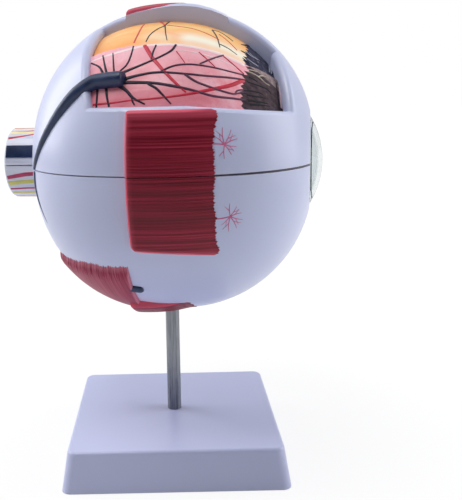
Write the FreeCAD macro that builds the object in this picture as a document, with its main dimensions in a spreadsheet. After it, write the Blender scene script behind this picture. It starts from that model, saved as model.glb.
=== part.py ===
"""Take-apart classroom eye, six times life size, on a rod and a square foot.

The table top is z = 0 and the origin is the middle of the foot's underside. The globe is built in its
own eye frame: +X runs forward through the pupil, +Z is up, and its origin is the middle of the globe.
Every layer of the globe is the same oval of revolution with a different inset. The layers under the
sclera sit a little further back than the globe's outside, which leaves the sclera thicker in front and
thinner at the back. The seam is the plane z = 0 of the eye frame.
"""
import FreeCAD, Part
import Sketcher
import math
import os
import re

SIZES = {
    # globe: an oval made of five tangent arcs, turned about the eye axis
    "globe_half_length": 71.2,
    "globe_half_width": 75.4,
    "pole_centre_offset": 31.5,
    "equator_centre_offset": 24.6,
    "shoulder_inset": 5.6,
    "eye_height": 155.2,
    "eye_offset": 3.3,
    "eye_turn": 9.74,
    "seam_gap": 0.3,
    # layers, measured inwards
    "sclera_wall": 4.4,
    "choroid_wall": 1.6,
    "retina_wall": 3.0,
    "vitreous_gap": 0.5,
    "vitreous_wall": 2.5,
    "layer_setback": 2.2,
    "choroid_setback": 32.2,
    "shell_setback": 14.2,
    # window in the upper sclera, and the smaller one in the choroid under it
    "window_back_low": 26.5,
    "window_back_high": 32.0,
    "window_back_knee": 52.0,
    "window_low": 29.0,
    "window_bend": 15.0,
    "window_front_low": 26.0,
    "window_front_fall": 0.0308,
    "window_front_setback": 28.6,
    "window_front_lean": 0.126,
    "window_front_draft": 0.42,
    "window_far_angle": 80.0,
    "window_rim_round": 2.6,
    "choroid_edge_angle": 52.4,
    "lip_angle": 4.0,
    "lip_back_overlap": 4.0,
    "lip_front_gap": 0.5,
    # front of the eye
    "limbus_setback": 2.9,
    "cornea_radius": 22.0,
    "cornea_height": 6.2,
    "cornea_wall": 2.0,
    "cornea_shoulder_width": 2.1,
    "cornea_spigot_depth": 4.0,
    "cornea_fit": 0.1,
    "cornea_seat_gap": 0.2,
    "iris_setback": 17.7,
    "iris_thickness": 2.0,
    "pupil_radius": 11.0,
    "ciliary_depth": 7.5,
    "ciliary_ring_width": 9.5,
    "ciliary_fold_height": 5.0,
    "ciliary_folds": 36,
    # lens and vitreous body
    "lens_radius": 22.0,
    "lens_front_bulge": 5.5,
    "lens_back_bulge": 8.5,
    "lens_edge": 1.5,
    "lens_gap_to_iris": 2.0,
    "lens_seat_gap": 0.3,
    "vitreous_lens_setback": 2.5,
    # optic nerve
    "nerve_radius": 18.0,
    "nerve_length": 15.3,
    "nerve_end_round": 1.2,
    # straight muscles: where each pad starts and ends, and how its outer face is shifted
    "side_muscle_back": 10.0,
    "side_muscle_front": 28.5,
    "side_muscle_top": 28.0,
    "side_muscle_bottom": 33.0,
    "side_muscle_slide": 6.4,
    "side_muscle_rise": 3.3,
    "top_muscle_back": 21.0,
    "top_muscle_front": 14.0,
    "top_muscle_half_width": 28.0,
    "top_muscle_slide": 0.6,
    "top_muscle_rise": 2.6,
    "bottom_muscle_back": 18.0,
    "bottom_muscle_front": 11.0,
    "bottom_muscle_half_width": 37.0,
    "bottom_muscle_slide": 14.3,
    "bottom_muscle_rise": 1.9,
    # oblique muscles
    "oblique_back": 58.0,
    "oblique_front": 13.0,
    "oblique_edge": 44.0,
    "oblique_inner_edge": 16.0,
    "oblique_rise": 1.3,
    # veins that stand out of the sclera
    "vein_radius": 3.2,
    "vein_tail_radius": 1.5,
    "vein_sink": 0.6,
    "vein_depth_in_window": 2.8,
    "stub_vein_radius": 2.1,
    # stand
    "base_side": 112.5,
    "base_height": 20.0,
    "base_taper": 9.2,
    "base_corner": 5.0,
    "base_edge": 1.6,
    "base_wall": 3.0,
    "boss_wall": 5.28,
    "boss_floor": 3.0,
    "rod_radius": 3.67,
    "rod_shoulder_width": 0.67,
    "rod_fit": 0.05,
    "rod_end_play": 0.2,
    "stud_above_table": 2.3,
    "stud_fit": 0.2,
    "stud_below_nut": 0.8,
    "nut_height": 4.5,
    "nut_wall": 2.0,
    "washer_width": 3.2,
    "washer_thickness": 1.4,
    # socket and pegs
    "socket_wall": 2.78,
    "socket_roof": 2.0,
    "socket_below_globe": 1.2,
    "peg_radius": 1.0,
    "peg_length": 8.0,
    "peg_fit": 0.1,
}
# Places and sizes that follow from the ones above.
FOLLOWING = {
    "shoulder_radius": "globe_half_length - shoulder_inset",
    "pole_radius": "globe_half_length + pole_centre_offset",
    "equator_radius": "globe_half_width + equator_centre_offset",
    "limbus_front": "globe_half_length - limbus_setback",
    "shell_front": "globe_half_length - shell_setback",
    "choroid_front": "globe_half_length - choroid_setback",
    "window_front_near": "globe_half_length - window_front_setback",
    "lip_back": "window_back_high + lip_back_overlap",
    "lip_front": "shell_front - lip_front_gap",
    "cornea_spigot_radius": "cornea_radius - cornea_shoulder_width",
    "iris_back": "globe_half_length - iris_setback",
    "ciliary_back": "iris_back - ciliary_depth",
    "lens_front_rim": "iris_back - lens_gap_to_iris - lens_front_bulge",
    "lens_back_rim": "lens_front_rim - lens_edge",
    "vitreous_front": "lens_back_rim - vitreous_lens_setback",
    "nerve_end": "globe_half_length + nerve_length",
    "stud_radius": "rod_radius - rod_shoulder_width",
    "washer_radius": "stud_radius + stud_fit + washer_width",
    "nut_half_flat": "stud_radius + nut_wall",
    "nut_foot": "stud_above_table + stud_below_nut",
    "boss_foot": "nut_foot + nut_height + washer_thickness",
    "rod_foot": "boss_foot + boss_floor",
    "boss_radius": "rod_radius + rod_fit + boss_wall",
    "socket_radius": "rod_radius + rod_fit + socket_wall",
    "socket_foot": "0 - globe_half_width - socket_below_globe",
    "hollow_foot": "sclera_wall + choroid_wall + retina_wall - globe_half_width",
    "rod_top": "eye_height + hollow_foot - socket_roof - rod_end_play",
}
# Half the side of the blocks that cut space into halves, and two distances below which places are the same.
ROOM = 2.0 * SIZES["globe_half_width"]
TOUCH = 0.01
RIM_TOUCH = 0.02

# Routes of the raised veins: distance forward, roll above the horizontal, both in the eye frame.
UPPER_VEIN = ((-27.5, 35.6), (-34.9, 31.4), (-42.7, 25.9), (-51.7, 17.1), (-58.0, 7.8), (-61.0, 1.2))
UPPER_VEIN_TIP = (-12.5, 35.0)
LOWER_VEIN = ((-61.0, -1.5), (-61.5, -11.0), (-60.0, -21.0), (-56.0, -31.0), (-51.0, -40.0))
STUB_VEIN = ((-15.0, -47.5), (-9.5, -47.5))

doc = FreeCAD.newDocument("eye_model")
sheet = doc.addObject("Spreadsheet::Sheet", "Sizes")
cells = {alias: str(number) for alias, number in SIZES.items()}
cells.update({alias: "=" + text for alias, text in FOLLOWING.items()})
for row, (alias, content) in enumerate(cells.items(), start=1):
    sheet.set("A%d" % row, alias.replace("_", " "))
    sheet.setAlias("B%d" % row, alias)
    sheet.set("B%d" % row, content)
doc.recompute()


def size(alias):
    """The sheet's number for a named size."""
    return float(getattr(sheet, alias))


def bind(thing, **expressions):
    """Tie properties of an object to the sheet, each by an expression in the sizes' names."""
    for prop, text in expressions.items():
        thing.setExpression(prop, in_sheet(text))
    return thing


def in_sheet(text):
    """Write the sizes' plain names as references to the sheet."""
    return re.sub(r"[a-z_]+", lambda word: ("Sizes." if word.group() in cells else "") + word.group(), text)


def place(thing, x="0", y="0", z="0", axis="0; 0; 1", angle="0"):
    """Bind an object's whole placement."""
    text = "placement(vector(%s; %s; %s); rotation(vector(%s); %s))"
    thing.setExpression("Placement", in_sheet(text % (x, y, z, axis, angle)))
    return thing


def box(name, low, high):
    """A block between two corners whose coordinates are expressions."""
    block = doc.addObject("Part::Box", name)
    sides = ("Length", "Width", "Height")
    bind(block, **{side: "(%s) - (%s)" % (top, bottom) for side, bottom, top in zip(sides, low, high)})
    return place(block, *low)


def rod_along(name, axis, radius, start, end, x="0", y="0"):
    """A cylinder along the eye axis or upright, from start to end."""
    turn = {"forward": ("0; 1; 0", "90"), "up": ("0; 0; 1", "0")}[axis]
    cylinder = doc.addObject("Part::Cylinder", name)
    bind(cylinder, Radius=radius, Height="(%s) - (%s)" % (end, start))
    if axis == "forward":
        return place(cylinder, start, "0", "0", *turn)
    return place(cylinder, x, y, start, *turn)


def ball(name, radius, centre):
    """A sphere centred on the eye axis."""
    return place(bind(doc.addObject("Part::Sphere", name), Radius=radius), centre)


def pair(kind, name, base, tool):
    """A boolean of two objects."""
    result = doc.addObject("Part::" + kind, name)
    result.Base = base
    result.Tool = tool
    return result


def cut(name, base, *tools):
    """The base without each tool in turn."""
    for count, tool in enumerate(tools, start=1):
        last = count == len(tools)
        base = pair("Cut", name if last else "%s_cut_%d" % (name, count), base, tool)
    return base


def common(name, base, *tools):
    """What the base shares with every tool."""
    for count, tool in enumerate(tools, start=1):
        last = count == len(tools)
        base = pair("Common", name if last else "%s_common_%d" % (name, count), base, tool)
    return base


def oval_arcs(inset):
    """Centres, radii and joint angles of the front half of the oval's profile."""
    pole = (size("globe_half_length") - size("pole_radius"), 0.0)
    equator = (0.0, size("globe_half_width") - size("equator_radius"))
    span = math.hypot(pole[0], equator[1])
    reach_pole = size("pole_radius") - size("shoulder_radius")
    reach_equator = size("equator_radius") - size("shoulder_radius")
    along = (reach_pole ** 2 - reach_equator ** 2 + span ** 2) / (2 * span)
    aside = math.sqrt(reach_pole ** 2 - along ** 2)
    ux, uy = -pole[0] / span, equator[1] / span
    shoulder = (pole[0] + along * ux - aside * uy, along * uy + aside * ux)
    first = math.atan2(shoulder[1], shoulder[0] - pole[0])
    second = math.atan2(shoulder[1] - equator[1], shoulder[0])
    radii = [size(name) - inset for name in ("pole_radius", "shoulder_radius", "equator_radius")]
    return pole, shoulder, equator, radii, first, second


def oval_radius(forward, inset):
    """Distance of the oval's surface from the eye axis at a place along that axis."""
    pole, shoulder, equator, radii, first, second = oval_arcs(inset)
    there = abs(forward)
    for centre, radius, begin in ((equator, radii[2], second), (shoulder, radii[1], first)):
        if there <= centre[0] + radius * math.cos(begin):
            return centre[1] + math.sqrt(radius ** 2 - (there - centre[0]) ** 2)
    return math.sqrt(max(radii[0] ** 2 - (there - pole[0]) ** 2, 0.0))


def depth_of(inset):
    """The number that a sum of sizes stands for."""
    return sum(size(word) for word in re.findall("[a-z_]+", inset))


def oval(name, inset):
    """Solid of revolution of the globe's profile; inset is an expression in the sizes."""
    pole, shoulder, equator, radii, first, second = oval_arcs(depth_of(inset))
    up = FreeCAD.Vector(0, 0, 1)
    arcs = (
        (pole[0], pole[1], radii[0], 0.0, first),
        (shoulder[0], shoulder[1], radii[1], first, second),
        (equator[0], equator[1], radii[2], second, math.pi - second),
        (-shoulder[0], shoulder[1], radii[1], math.pi - second, math.pi - first),
        (-pole[0], pole[1], radii[0], math.pi - first, math.pi),
    )
    sketch = doc.addObject("Sketcher::SketchObject", name + "_profile")
    for x, y, radius, begin, end in arcs:
        circle = Part.Circle(FreeCAD.Vector(x, y, 0), up, radius)
        sketch.addGeometry(Part.ArcOfCircle(circle, begin, end), False)
    tip = pole[0] + radii[0]
    sketch.addGeometry(Part.LineSegment(FreeCAD.Vector(-tip, 0, 0), FreeCAD.Vector(tip, 0, 0)), False)
    start, end, middle, origin, x_axis, y_axis = 1, 2, 3, -1, -1, -2
    for index in range(4):
        sketch.addConstraint(Sketcher.Constraint("Tangent", index, end, index + 1, start))
    sketch.addConstraint(Sketcher.Constraint("Coincident", 4, end, 5, start))
    sketch.addConstraint(Sketcher.Constraint("Coincident", 5, end, 0, start))
    for index, point in ((0, start), (4, end), (0, middle), (4, middle)):
        sketch.addConstraint(Sketcher.Constraint("PointOnObject", index, point, x_axis))
    sketch.addConstraint(Sketcher.Constraint("PointOnObject", 2, middle, y_axis))

    def driven(kind, arguments, value, text):
        number = sketch.addConstraint(Sketcher.Constraint(kind, *arguments, value))
        sketch.setExpression("Constraints[%d]" % number, in_sheet(text))

    driven("DistanceX", (0, middle, origin, 1), -pole[0], "pole_radius - globe_half_length")
    driven("DistanceX", (origin, 1, 4, middle), -pole[0], "pole_radius - globe_half_length")
    driven("DistanceY", (2, middle, origin, 1), -equator[1], "equator_radius - globe_half_width")
    radii_in_order = ("pole_radius", "shoulder_radius", "equator_radius", "shoulder_radius", "pole_radius")
    for index, radius_name in enumerate(radii_in_order):
        driven("Radius", (index,), arcs[index][2], "%s - (%s)" % (radius_name, inset))
    return revolve(name, sketch)


def layer(name, inset):
    """The oval of a level under the sclera, set back from the globe's outside."""
    return place(oval(name, inset), "0 - layer_setback")


def revolve(name, sketch):
    """A full turn of a sketch about the eye axis."""
    turned = doc.addObject("Part::Revolution", name)
    turned.Source = sketch
    turned.Axis = FreeCAD.Vector(1, 0, 0)
    turned.Base = FreeCAD.Vector(0, 0, 0)
    turned.Angle = 360.0
    turned.Solid = True
    return turned


def shifted(name, source, forward="0", side="0", up="0"):
    """The same solid of revolution moved bodily."""
    return place(revolve(name, source.Source), forward, side, up)


def polygon(name, corners, y="0"):
    """A closed outline in a plane across the eye, its corners given as expressions."""
    sketch = doc.addObject("Sketcher::SketchObject", name)
    place(sketch, "0", y, "0", "1; 0; 0", "90")
    total = len(corners)
    turns = [2 * math.pi * k / total for k in range(total)]
    spots = [FreeCAD.Vector(math.cos(turn), math.sin(turn), 0) * ROOM for turn in turns]
    for index in range(total):
        sketch.addGeometry(Part.LineSegment(spots[index], spots[(index + 1) % total]), False)
    for index in range(total):
        sketch.addConstraint(Sketcher.Constraint("Coincident", index, 2, (index + 1) % total, 1))
    for index, corner in enumerate(corners):
        for kind, text in zip(("DistanceX", "DistanceY"), corner):
            number = sketch.addConstraint(Sketcher.Constraint(kind, -1, 1, index, 1, ROOM))
            sketch.setExpression("Constraints[%d]" % number, in_sheet(text))
    return sketch


def sector(name, angle):
    """A wedge about the eye axis, from the lateral horizontal up to a roll angle."""
    wedge = bind(doc.addObject("Part::Cylinder", name), Angle=angle)
    wedge.Radius = ROOM
    wedge.Height = 2 * ROOM
    lateral, up, backward = FreeCAD.Vector(0, -1, 0), FreeCAD.Vector(0, 0, 1), FreeCAD.Vector(-1, 0, 0)
    turn = FreeCAD.Rotation(lateral, up, backward, "ZXY")
    wedge.Placement = FreeCAD.Placement(FreeCAD.Vector(ROOM, 0, 0), turn)
    return wedge


pieces = []


def keep(thing, name, half=None):
    """Seat a finished piece of the globe at its height and turn, and list it for writing."""
    thing.Label = name
    lift = {"upper": "eye_height + seam_gap", "lower": "eye_height", None: "eye_height"}[half]
    place(thing, "eye_offset", "0", lift, "0; 0; 1", "0 - eye_turn")
    pieces.append(thing)
    return thing


def keep_on_stand(thing, name):
    """List a finished piece of the stand, which is built where it stands."""
    thing.Label = name
    pieces.append(thing)
    return thing


# ---------------------------------------------------------------- layers of the globe
CHOROID = "sclera_wall"
RETINA = "sclera_wall + choroid_wall"
HOLLOW = "sclera_wall + choroid_wall + retina_wall"
VITREOUS = "sclera_wall + choroid_wall + retina_wall + vitreous_gap"
VITREOUS_HOLLOW = VITREOUS + " + vitreous_wall"
globe = oval("globe", "0")
under_sclera = layer("under_sclera", CHOROID)
under_choroid = layer("under_choroid", RETINA)
hollow = layer("hollow", HOLLOW)
room = str(ROOM)
no_room = str(-ROOM)
halves = {
    "upper": box("upper_space", (no_room, no_room, "0"), (room, room, room)),
    "lower": box("lower_space", (no_room, no_room, no_room), (room, room, "0")),
}
far_corner = (no_room, no_room, no_room)
behind_limbus = box("behind_limbus", far_corner, ("limbus_front", room, room))
behind_shell_front = box("behind_shell_front", far_corner, ("shell_front", room, room))
behind_choroid_front = box("behind_choroid_front", far_corner, ("choroid_front", room, room))
ciliary_slice = box("ciliary_slice", ("choroid_front", no_room, no_room), ("shell_front", room, room))

# ---------------------------------------------------------------- window
window_front_top = "window_front_near + window_front_lean * (%s - window_front_low)" % room
near_outline = polygon("window_near_outline", (
    ("0 - window_back_low", "window_low"),
    ("window_bend", "window_low"),
    ("window_front_near", "window_front_low"),
    (window_front_top, room),
    ("0 - window_back_high", room),
    ("0 - window_back_high", "window_back_knee")))
outer_shift = " + window_front_draft * %s" % room
outer_outline = polygon("window_outer_outline", (
    ("0 - window_back_low", "window_low"),
    ("window_bend", "window_low"),
    ("window_front_near" + outer_shift, "window_front_low - window_front_fall * %s" % room),
    (window_front_top + outer_shift, room),
    ("0 - window_back_high", room),
    ("0 - window_back_high", "window_back_knee")), y=no_room)
window_block = doc.addObject("Part::Loft", "window_block")
window_block.Sections = [near_outline, outer_outline]
window_block.Solid = True
window_block.Ruled = True
window = common("window", window_block, sector("window_sector", "window_far_angle"))
choroid_sector = cut("choroid_sector", sector("choroid_far", "window_far_angle + lip_angle"),
                     sector("choroid_near", "choroid_edge_angle"))
choroid_span = box("choroid_window_span", ("0 - lip_back", no_room, no_room), ("lip_front", room, room))
choroid_window = common("choroid_window", choroid_sector, choroid_span)

# ---------------------------------------------------------------- shells, one set for each half
cornea_bore = rod_along("cornea_bore", "forward", "cornea_spigot_radius + cornea_fit", "shell_front", room)
socket_spot = ("0 - eye_offset * cos(eye_turn)", "0 - eye_offset * sin(eye_turn)")
socket_hole = rod_along("socket_hole", "up", "socket_radius", no_room, "0", *socket_spot)
PEG_SPOTS = (("0", "globe_half_width - 0.5 * sclera_wall"), ("0", "0.5 * sclera_wall - globe_half_width"))


def pegs(name, radius, half_length):
    """Two upright pins in the middle of the sclera's wall, across the seam, one on each side."""
    pins = []
    foot = "0 - (%s)" % half_length
    for count, (x, y) in enumerate(PEG_SPOTS, start=1):
        pins.append(rod_along("%s_%d" % (name, count), "up", radius, foot, half_length, x, y))
    group = doc.addObject("Part::Compound", name)
    group.Links = pins
    return group


peg_pins = pegs("seam_pegs", "peg_radius", "0.5 * peg_length")
peg_seats = pegs("peg_seats", "peg_radius", "0.5 * peg_length")
peg_sockets = pegs("peg_sockets", "peg_radius + peg_fit", "0.5 * peg_length + seam_gap")
choroid_lip = common("choroid_lip", cut("choroid_level", under_sclera, under_choroid), choroid_window)


def on_window_rim(edge):
    """Does the edge run where a window wall meets the outside of the globe?"""
    if edge.Degenerated:
        return False
    start, end = edge.ParameterRange
    middle = edge.valueAt((start + end) / 2)
    off_globe = abs(math.hypot(middle.y, middle.z) - oval_radius(middle.x, 0.0))
    return off_globe < RIM_TOUCH and window.Shape.Shells[0].distToShape(Part.Vertex(middle))[0] < RIM_TOUCH


def rounded_rim(sclera):
    """The upper sclera with the window's outer edges rounded."""
    doc.recompute()
    radius = size("window_rim_round")
    rim = doc.addObject("Part::Fillet", "upper_sclera_rounded")
    rim.Base = sclera
    rim.Edges = [(number, radius, radius) for number, edge in enumerate(sclera.Shape.Edges, start=1)
                 if on_window_rim(edge)]
    return rim


def shells(half):
    """Sclera, choroid, ciliary muscle and retina of one half."""
    space = halves[half]
    sclera = cut(half + "_sclera_wall", globe, under_sclera)
    sclera = common(half + "_sclera_bowl", sclera, space, behind_limbus)
    choroid = cut(half + "_choroid_wall", under_sclera, under_choroid)
    choroid = common(half + "_choroid_bowl", choroid, space)
    retina = common(half + "_retina_bowl", cut(half + "_retina_wall", under_choroid, hollow), space)
    if half == "upper":
        sclera = pair("Fuse", "upper_sclera_lipped", sclera, common("upper_lip", choroid_lip, space))
        sclera = rounded_rim(cut("upper_sclera_open", sclera, window, cornea_bore, peg_sockets))
        choroid = cut("upper_choroid_open", choroid, choroid_window)
    else:
        sclera = cut("lower_sclera", sclera, socket_hole, cornea_bore, peg_seats)
        choroid = cut("lower_choroid_open", choroid, socket_hole)
        retina = cut("lower_retina_open", retina, socket_hole)
    keep(sclera, half + "_sclera", half)
    keep(common(half + "_choroid", choroid, behind_choroid_front), half + "_choroid", half)
    keep(common(half + "_ciliary_muscle", choroid, ciliary_slice), half + "_ciliary_muscle", half)
    keep(common(half + "_retina", retina, behind_shell_front), half + "_retina", half)


for half in halves:
    shells(half)
keep(peg_pins, "seam_pegs", "lower")

# ---------------------------------------------------------------- iris and ciliary processes
iris_disc = rod_along("iris_disc", "forward", room, "iris_back", "iris_back + iris_thickness")
pupil = rod_along("pupil", "forward", "pupil_radius", "0", room)
iris_ring = cut("iris_ring", common("iris_fitted", iris_disc, hollow), pupil)


def folds():
    """Ring of radial folds, drawn as one pleated outline round the eye axis."""
    count = int(size("ciliary_folds"))
    foot = oval_radius(size("ciliary_back") + size("layer_setback"), depth_of(HOLLOW))
    root = foot - size("ciliary_ring_width")
    tip = root - size("ciliary_fold_height")
    pattern = (tip, tip, root, root)
    spots = []
    for step in range(4 * count):
        angle = 2 * math.pi * (step - 0.5) / (4 * count)
        radius = pattern[step % 4]
        side, height = radius * math.cos(angle), radius * math.sin(angle)
        spots.append(FreeCAD.Vector(size("ciliary_back"), side, height))
    pleats = Part.Face(Part.makePolygon(spots + spots[:1]))
    return pleats.extrude(FreeCAD.Vector(size("ciliary_depth"), 0, 0))


fold_hole = doc.addObject("Part::Feature", "fold_hole")
fold_hole.Shape = folds()
ciliary_disc = rod_along("ciliary_disc", "forward", room, "ciliary_back", "iris_back")
ciliary_ring = cut("ciliary_ring", common("ciliary_fitted", ciliary_disc, hollow), fold_hole)
for half, space in halves.items():
    keep(common(half + "_iris", iris_ring, space), half + "_iris", half)
    keep(common(half + "_ciliary_body", ciliary_ring, space), half + "_ciliary_body", half)

# ---------------------------------------------------------------- optic nerve
nerve_bar = rod_along("nerve_bar", "forward", "nerve_radius", "0 - nerve_end", "0")
nerve_round = doc.addObject("Part::Fillet", "nerve_round")
nerve_round.Base = nerve_bar
doc.recompute()
end_edges = [number for number, edge in enumerate(nerve_bar.Shape.Edges, start=1)
             if abs(edge.CenterOfMass.x + size("nerve_end")) < TOUCH and not edge.Degenerated]
nerve_round.Edges = [(number, size("nerve_end_round"), size("nerve_end_round")) for number in end_edges]
nerve_stub = cut("nerve_stub", nerve_round, globe)
for half, space in halves.items():
    keep(common(half + "_optic_nerve", nerve_stub, space), half + "_optic_nerve", half)

# ---------------------------------------------------------------- muscle pads
for side, sign in (("lateral", "0 -"), ("medial", "0 +")):
    rise = "%s side_muscle_rise" % sign
    swell = shifted(side + "_swell", globe, "0 - side_muscle_slide", rise)
    pad = cut(side + "_pad", swell, globe)
    near, far = (no_room, "0") if side == "lateral" else ("0", room)
    spans = {"upper": ("0", "side_muscle_top"), "lower": ("0 - side_muscle_bottom", "0")}
    for half, (low, high) in spans.items():
        name = "%s_rectus_%s" % (side, half)
        span = box(name + "_span", ("0 - side_muscle_back", near, low), ("side_muscle_front", far, high))
        keep(common(name, pad, span), name, half)

top_swell = shifted("top_swell", globe, "0 - top_muscle_slide", "0", "top_muscle_rise")
top_span = box("top_span", ("0 - top_muscle_back", "0 - top_muscle_half_width", "0"),
               ("top_muscle_front", "top_muscle_half_width", room))
top_pad = common("top_pad", cut("top_layer", top_swell, globe), top_span)
keep(cut("superior_rectus", top_pad, window), "superior_rectus", "upper")

bottom_swell = shifted("bottom_swell", globe, "0 - bottom_muscle_slide", "0", "0 - bottom_muscle_rise")
bottom_span = box("bottom_span", ("0 - bottom_muscle_back", "0 - bottom_muscle_half_width", no_room),
                  ("bottom_muscle_front", "bottom_muscle_half_width", "0"))
bottom_pad = common("bottom_pad", cut("bottom_layer", bottom_swell, globe), bottom_span)
keep(cut("inferior_rectus", bottom_pad, socket_hole), "inferior_rectus", "lower")

oblique_shift = ("0 - oblique_rise", "0 - oblique_rise", "0 - oblique_rise")
lower_swell = shifted("lower_oblique_swell", globe, *oblique_shift)
lower_span = box("lower_oblique_span", ("0 - oblique_back", no_room, no_room),
                 ("0 - oblique_front", "0 - oblique_inner_edge", "0 - oblique_edge"))
lower_layer = common("lower_oblique_layer", cut("lower_oblique_wall", lower_swell, globe), lower_span)
keep(cut("inferior_oblique", lower_layer, bottom_pad), "inferior_oblique", "lower")

upper_swell = shifted("upper_oblique_swell", globe, "0 - oblique_rise", "oblique_rise", "oblique_rise")
upper_span = box("upper_oblique_span", ("0 - oblique_back", "oblique_inner_edge", "oblique_edge"),
                 ("0 - oblique_front", room, room))
upper_layer = common("upper_oblique_layer", cut("upper_oblique_wall", upper_swell, globe), upper_span)
keep(cut("superior_oblique", upper_layer, top_pad), "superior_oblique", "upper")

# ---------------------------------------------------------------- raised veins


def on_globe(forward, roll, inset):
    """Point of the eye frame on a layer of the globe."""
    radius = oval_radius(forward, inset)
    angle = math.radians(roll)
    return FreeCAD.Vector(forward, -radius * math.cos(angle), radius * math.sin(angle))


def tube(points, radii):
    """A round cord through the points: a ball at each one and a cone between neighbours."""
    solids = [Part.makeSphere(radius, point) for point, radius in zip(points, radii)]
    for start, end, first, second in zip(points, points[1:], radii, radii[1:]):
        along = end.sub(start)
        if abs(first - second) < TOUCH:
            solids.append(Part.makeCylinder(first, along.Length, start, along))
        else:
            solids.append(Part.makeCone(first, second, along.Length, start, along))
    return solids[0].multiFuse(solids[1:])


def vein(name, points, radii):
    """A vein's cord as an object of the document."""
    cord = doc.addObject("Part::Feature", name)
    cord.Shape = tube(points, radii)
    return cord


sink = size("vein_sink")
thick, thin = size("vein_radius"), size("vein_tail_radius")
deep = size("vein_depth_in_window")
upper_points = [on_globe(*UPPER_VEIN_TIP, deep), on_globe(*UPPER_VEIN[0], deep)]
upper_points += [on_globe(*spot, sink) for spot in UPPER_VEIN[1:]]
steps = len(UPPER_VEIN) - 1
upper_radii = [thick, thick] + [thick + (thin - thick) * k / steps for k in range(1, steps + 1)]
upper_cord = common("upper_cord", vein("upper_vein_cord", upper_points, upper_radii), halves["upper"])
in_window = cut("upper_vein_in_window", common("upper_vein_window_part", upper_cord, window), under_sclera)
on_sclera = cut("upper_vein_on_sclera", upper_cord, globe)
keep(pair("Fuse", "superior_vortex_vein", on_sclera, in_window), "superior_vortex_vein", "upper")

lower_points = [on_globe(*spot, sink) for spot in LOWER_VEIN]
lower_cord = vein("lower_vein_cord", lower_points, [thin] * len(LOWER_VEIN))
lower_cord = common("lower_cord", lower_cord, halves["lower"])
keep(cut("posterior_vein", lower_cord, globe, lower_layer), "posterior_vein", "lower")

stub_points = [on_globe(*spot, sink) for spot in STUB_VEIN]
stub_cord = vein("stub_vein_cord", stub_points, [size("stub_vein_radius")] * len(STUB_VEIN))
keep(cut("inferior_vortex_vein", stub_cord, globe, lower_layer), "inferior_vortex_vein", "lower")

# ---------------------------------------------------------------- cornea


def cap(name, radius, height, centre_of_rim, facing="forward"):
    """A ball whose cap of the given rim radius and height stands on a plane across the eye axis."""
    ball_radius = "((%s) * (%s) + (%s) * (%s) ) / (2 * (%s))" % (radius, radius, height, height, height)
    sign = "-" if facing == "forward" else "+"
    centre = "%s %s ( %s - (%s))" % (centre_of_rim, sign, ball_radius, height)
    return ball(name, ball_radius, centre)


dome_seat = "limbus_front + cornea_seat_gap"
dome = cap("cornea_outside", "cornea_radius", "cornea_height", dome_seat)
hollow_rim = "cornea_spigot_radius - cornea_wall"
dome_hollow = cap("cornea_inside", hollow_rim, "cornea_height - cornea_wall", dome_seat)
before_limbus = box("before_limbus", (dome_seat, no_room, no_room), (room, room, room))
dome_shell = common("cornea_dome", cut("cornea_shell", dome, dome_hollow), before_limbus)
spigot_start = "limbus_front - cornea_spigot_depth"
spigot = rod_along("cornea_spigot_bar", "forward", "cornea_spigot_radius", spigot_start, dome_seat)
spigot_bore = rod_along("cornea_spigot_bore", "forward", hollow_rim, "0", dome_seat)
spigot_ring = cut("cornea_spigot", spigot, spigot_bore)
keep(pair("Fuse", "cornea", dome_shell, spigot_ring), "cornea")

# ---------------------------------------------------------------- lens
lens_front = cap("lens_front_ball", "lens_radius", "lens_front_bulge", "lens_front_rim")
lens_back = cap("lens_back_ball", "lens_radius", "lens_back_bulge", "lens_back_rim", "backward")
lens_bar = rod_along("lens_bar", "forward", "lens_radius", "0", room)
keep(common("lens", lens_front, lens_back, lens_bar), "lens")

# ---------------------------------------------------------------- vitreous body
vitreous_outside = layer("vitreous_outside", VITREOUS)
vitreous_inside = layer("vitreous_inside", VITREOUS_HOLLOW)
back_space = box("back_space", far_corner, ("0", room, room))
front_space = box("front_space", ("0", no_room, no_room), ("vitreous_front", room, room))
front_hollow = box("front_hollow", ("0", no_room, no_room), ("vitreous_front - vitreous_wall", room, room))
lens_back_radius = ("(lens_radius * lens_radius + lens_back_bulge * lens_back_bulge ) "
                    "/ ( 2 * lens_back_bulge)")
lens_back_centre = "lens_back_rim + " + lens_back_radius + " - lens_back_bulge"
dish = ball("lens_dish", lens_back_radius + " + lens_seat_gap", lens_back_centre)
dish_wall = ball("lens_dish_wall", lens_back_radius + " + lens_seat_gap + vitreous_wall", lens_back_centre)
rear = common("vitreous_rear_shell", cut("vitreous_wall", vitreous_outside, vitreous_inside), back_space)
keep(rear, "vitreous_rear_shell")
front_room = common("vitreous_front_room", vitreous_inside, front_hollow)
front_void = cut("vitreous_front_void", front_room, dish_wall)
front_block = common("vitreous_front_block", vitreous_outside, front_space)
front = cut("vitreous_front_shell", front_block, dish, front_void)
keep(front, "vitreous_front_shell")

# ---------------------------------------------------------------- rod socket, in the lower half
socket_body = rod_along("socket_body", "up", "socket_radius", "socket_foot", "hollow_foot", *socket_spot)
socket_bore = rod_along("socket_bore", "up", "rod_radius + rod_fit", no_room,
                        "hollow_foot - socket_roof", *socket_spot)
keep(cut("rod_socket", socket_body, socket_bore), "rod_socket", "lower")

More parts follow.
